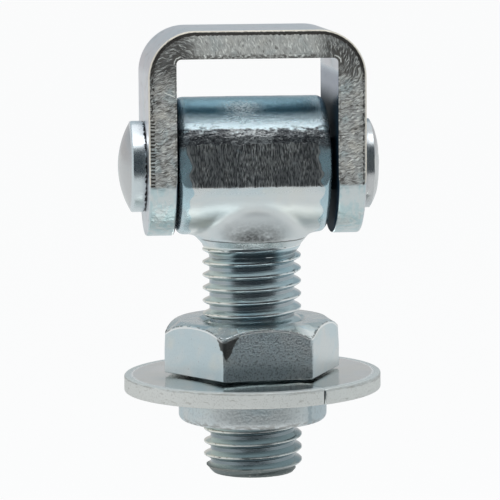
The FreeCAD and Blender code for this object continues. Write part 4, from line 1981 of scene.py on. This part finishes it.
@dataclass
class ThreadedBush(Piece):
    """The round weld-in bush whose neck centres the washer."""

    bore: float = 7.72
    countersink: float = 0.7
    neck: float = 10.0
    radius: float = 11.5
    top: float = -53.0
    shoulder: float = -55.75
    foot: float = -60.75
    edge: float = 1.0
    steps: int = 144

    def shape(self) -> bmesh.types.BMesh:
        """Turn the bush.

        Returns:
            The bush's mesh in mm.
        """
        mouth = self.bore + self.countersink
        corner = arc((self.foot + self.edge, self.radius - self.edge), self.edge, 180, 90, 9)
        wall = [
            (self.foot + self.edge + (self.shoulder - self.foot - self.edge) * n / 6, self.radius)
            for n in range(1, 6)
        ]
        profile = [
            (self.top - self.countersink, self.bore),
            (self.foot + self.countersink, self.bore),
            (self.foot, mouth),
            (self.foot, (mouth + self.radius - self.edge) / 2),
            *corner,
            *wall,
            (self.shoulder - 0.12, self.radius),
            (self.shoulder, self.radius - 0.12),
            (self.shoulder, self.neck),
            (self.top - 0.12, self.neck),
            (self.top, self.neck - 0.12),
            (self.top, mouth),
        ]
        bm = tidy(turned(profile, Axis.STUD, self.steps))
        for vert in bm.verts:
            radius = math.hypot(vert.co.x, vert.co.y)
            if radius > self.neck + 0.5 and vert.co.z < self.shoulder - 0.2:
                dent = min(0.03 * ripple(vert.co, 2.4) + 0.015 * ripple(vert.co, 1.0), 0.0)
                vert.co.xy *= 1 + dent / radius
        return bm


# Studio


WHITE: Colour = (1.0, 1.0, 1.0)


@dataclass(frozen=True)
class Lamp:
    """One soft lamp: where it hangs, its size, what it faces, in mm, and its power in watts."""

    name: str
    place: tuple[float, float, float]
    size: tuple[float, float]
    target: tuple[float, float, float]
    power: float
    tint: Colour


@dataclass
class Studio:
    """The white surroundings, soft lamps, floor and camera."""

    eye: tuple[float, float, float] = (-48.90, -456.84, 21.23)
    pivot_pixel: tuple[float, float] = (250.98, 164.50)
    focal_pixels: float = 2994.5
    image: float = 500.0
    sensor: float = 36.0
    roll: float = -0.38
    floor_size: tuple[float, float] = (3000.0, 2200.0)
    floor_centre: tuple[float, float] = (1950.0, -120.0)
    floor_matt: Colour = (0.80, 0.80, 0.80)
    floor_mirrored: Colour = (0.76, 0.79, 0.80)
    sky_front: Colour = (0.80, 0.86, 0.89)
    sky_back: Colour = (0.60, 0.60, 0.61)
    back_band: Colour = (0.36, 0.44, 0.48)
    overhead: Colour = (0.90, 0.96, 1.0)
    right_front: Colour = (0.34, 0.46, 0.50)
    right_side: Colour = (0.42, 0.53, 0.58)
    camera_side: Colour = (0.037, 0.048, 0.056)
    lamps: tuple[Lamp, ...] = (
        Lamp("top_front", (0, -150, 420), (700, 200), tuple(PIVOT), 0.75, (0.97, 1.0, 1.0)),
        Lamp("low_back", (6.0, 66, -81), (5, 24), (0, 0, -4), 0.0030, (1.0, 0.98, 0.96)),
    )

    def stand(self, name: str, data: bpy.types.ID, place: Vector, turn: Matrix) -> bpy.types.Object:
        """Put a lamp or the camera in the scene.

        Args:
            name: Its name.
            data: The lamp's or camera's data.
            place: Where it stands, in mm.
            turn: Its turn.

        Returns:
            The object.
        """
        item = bpy.data.objects.new(name, data)
        item.matrix_world = Matrix.Translation(place * MM) @ turn.to_4x4()
        bpy.context.scene.collection.objects.link(item)
        return item

    def camera(self) -> None:
        """Stand the camera where the photograph's outline puts it."""
        data = bpy.data.cameras.new("camera")
        data.sensor_width = self.sensor
        data.lens = self.focal_pixels * self.sensor / self.image
        data.clip_start = 0.01
        place = Vector(self.eye)
        forward = (PIVOT - place).normalized()
        level = forward.to_track_quat("-Z", "Y").to_matrix()
        tilt = level @ Matrix.Rotation(math.radians(self.roll), 3, "Z")
        right, up = tilt.col[0], tilt.col[1]
        across = (self.pivot_pixel[0] - self.image / 2) / self.focal_pixels
        above = (self.image / 2 - self.pivot_pixel[1]) / self.focal_pixels
        aim = (forward - right * across - up * above).normalized()
        side = (right - aim * right.dot(aim)).normalized()
        turn = Matrix((side, side.cross(aim), -aim)).transposed()
        bpy.context.scene.camera = self.stand("camera", data, place, turn)

    def floor(self) -> None:
        """Lay a plain pale floor well below the hinge."""
        bm = bmesh.new()
        bmesh.ops.create_grid(bm, x_segments=1, y_segments=1, size=MM)
        bmesh.ops.scale(bm, vec=(*self.floor_size, 1), verts=bm.verts)
        centre = Vector((0, *self.floor_centre)) * MM
        bmesh.ops.translate(bm, vec=centre, verts=bm.verts)
        item = to_object(bm, "floor")
        material = bpy.data.materials.new("pale_floor")
        material.use_nodes = True
        graph = Graph(material.node_tree)
        ray = graph.add("ShaderNodeLightPath", output="Is Camera Ray")
        glossy = graph.add("ShaderNodeLightPath", output="Is Glossy Ray")
        dull = {"Base Color": (*self.floor_matt, 1), "Roughness": 0.9, "Specular IOR Level": 0.0}
        shown = graph.add("ShaderNodeBsdfPrincipled", {}, dull)
        for share, colour in ((glossy, self.floor_mirrored), (ray * 0.9, WHITE)):
            glow = graph.add("ShaderNodeEmission", {}, {"Color": (*colour, 1), "Strength": 1.0})
            shown = graph.add("ShaderNodeMixShader", {}, {0: share, 1: shown, 2: glow})
        graph.add("ShaderNodeOutputMaterial", {}, {"Surface": shown})
        item.data.materials.append(material)

    def world(self) -> None:
        """Surround the hinge: white to the camera, and a bright ceiling over shaded sides."""
        world = bpy.data.worlds.new("studio")
        bpy.context.scene.world = world
        world.use_nodes = True
        graph = Graph(world.node_tree)
        way = graph.add("ShaderNodeTexCoord", output="Generated")
        ray = graph.add("ShaderNodeLightPath", output="Is Camera Ray")
        glossy = graph.add("ShaderNodeLightPath", output="Is Glossy Ray")
        right, back, up = way.part(0), way.part(1), way.part(2)
        level = (1.0001 - up * up) ** -0.5
        ahead, aside = (0.0 - back) * level, right * level
        shade = aside.rise(0.35, 0.55) * ahead.rise(0.05, 0.3) * up.rise(0.6, 0.4)
        far_right = aside.rise(0.6, 0.85) * ahead.rise(-0.45, -0.10) * up.rise(0.6, 0.4)
        colour = graph.paint(
            self.sky_front,
            (back.rise(-0.2, 0.9), self.sky_back),
            (up.rise(0.16, 0.28) * back.rise(0.0, 0.3), self.back_band),
            (up.rise(0.58, 0.78), self.overhead),
            (shade, self.right_front),
            (far_right * (1.0 - shade) * 0.5, self.right_side),
            (ahead.rise(0.22, 0.62) * up.rise(0.86, 0.74) * glossy, self.camera_side),
            (ray, WHITE),
        )
        sky = graph.add("ShaderNodeBackground", {}, {"Color": colour, "Strength": 1.0})
        graph.add("ShaderNodeOutputWorld", {}, {"Surface": sky})

    def hang(self, lamp: Lamp) -> None:
        """Hang one soft lamp, which the camera doesn't see.

        Args:
            lamp: The lamp.
        """
        data = bpy.data.lights.new(lamp.name, "AREA")
        data.shape = "RECTANGLE"
        data.size, data.size_y = lamp.size[0] * MM, lamp.size[1] * MM
        data.energy = lamp.power
        data.color = lamp.tint
        place = Vector(lamp.place)
        turn = (Vector(lamp.target) - place).to_track_quat("-Z", "Y").to_matrix()
        self.stand(lamp.name, data, place, turn).visible_camera = False

    def build(self) -> None:
        """Set up world, floor, lamps and camera."""
        self.world()
        self.floor()
        for lamp in self.lamps:
            self.hang(lamp)
        self.camera()
        bpy.context.scene.view_settings.view_transform = "Standard"


def main() -> None:
    """Build the pieces in order, then the studio, and report each piece."""
    logging.basicConfig(level=logging.INFO, format="%(message)s")
    pieces = [
        Yoke("yoke", "yoke", "zinc_flat_bar", ShearedBar("zinc_flat_bar", dull=0.34)),
        PivotPin("pivot_pin", "yoke", "zinc_rivet", RivetedPin("zinc_rivet", dull=0.22)),
        EyeStud("eye_stud", "eye", "zinc_forging", TrimmedForging("zinc_forging", dull=0.26)),
        LockNut("lock_nut", "nut", "zinc_nut", PebbledNut("zinc_nut", dull=0.26)),
        SplitWasher(
            "split_washer", "washer", "zinc_washer", StampedWasher("zinc_washer", dull=0.16)
        ),
        ThreadedBush(
            "threaded_bush", "bush", "zinc_bush", CastBush("zinc_bush", dull=0.40, speck_share=0.15)
        ),
    ]
    for piece in pieces:
        piece.make()
    Studio().build()


if __name__ == "__main__":
    main()
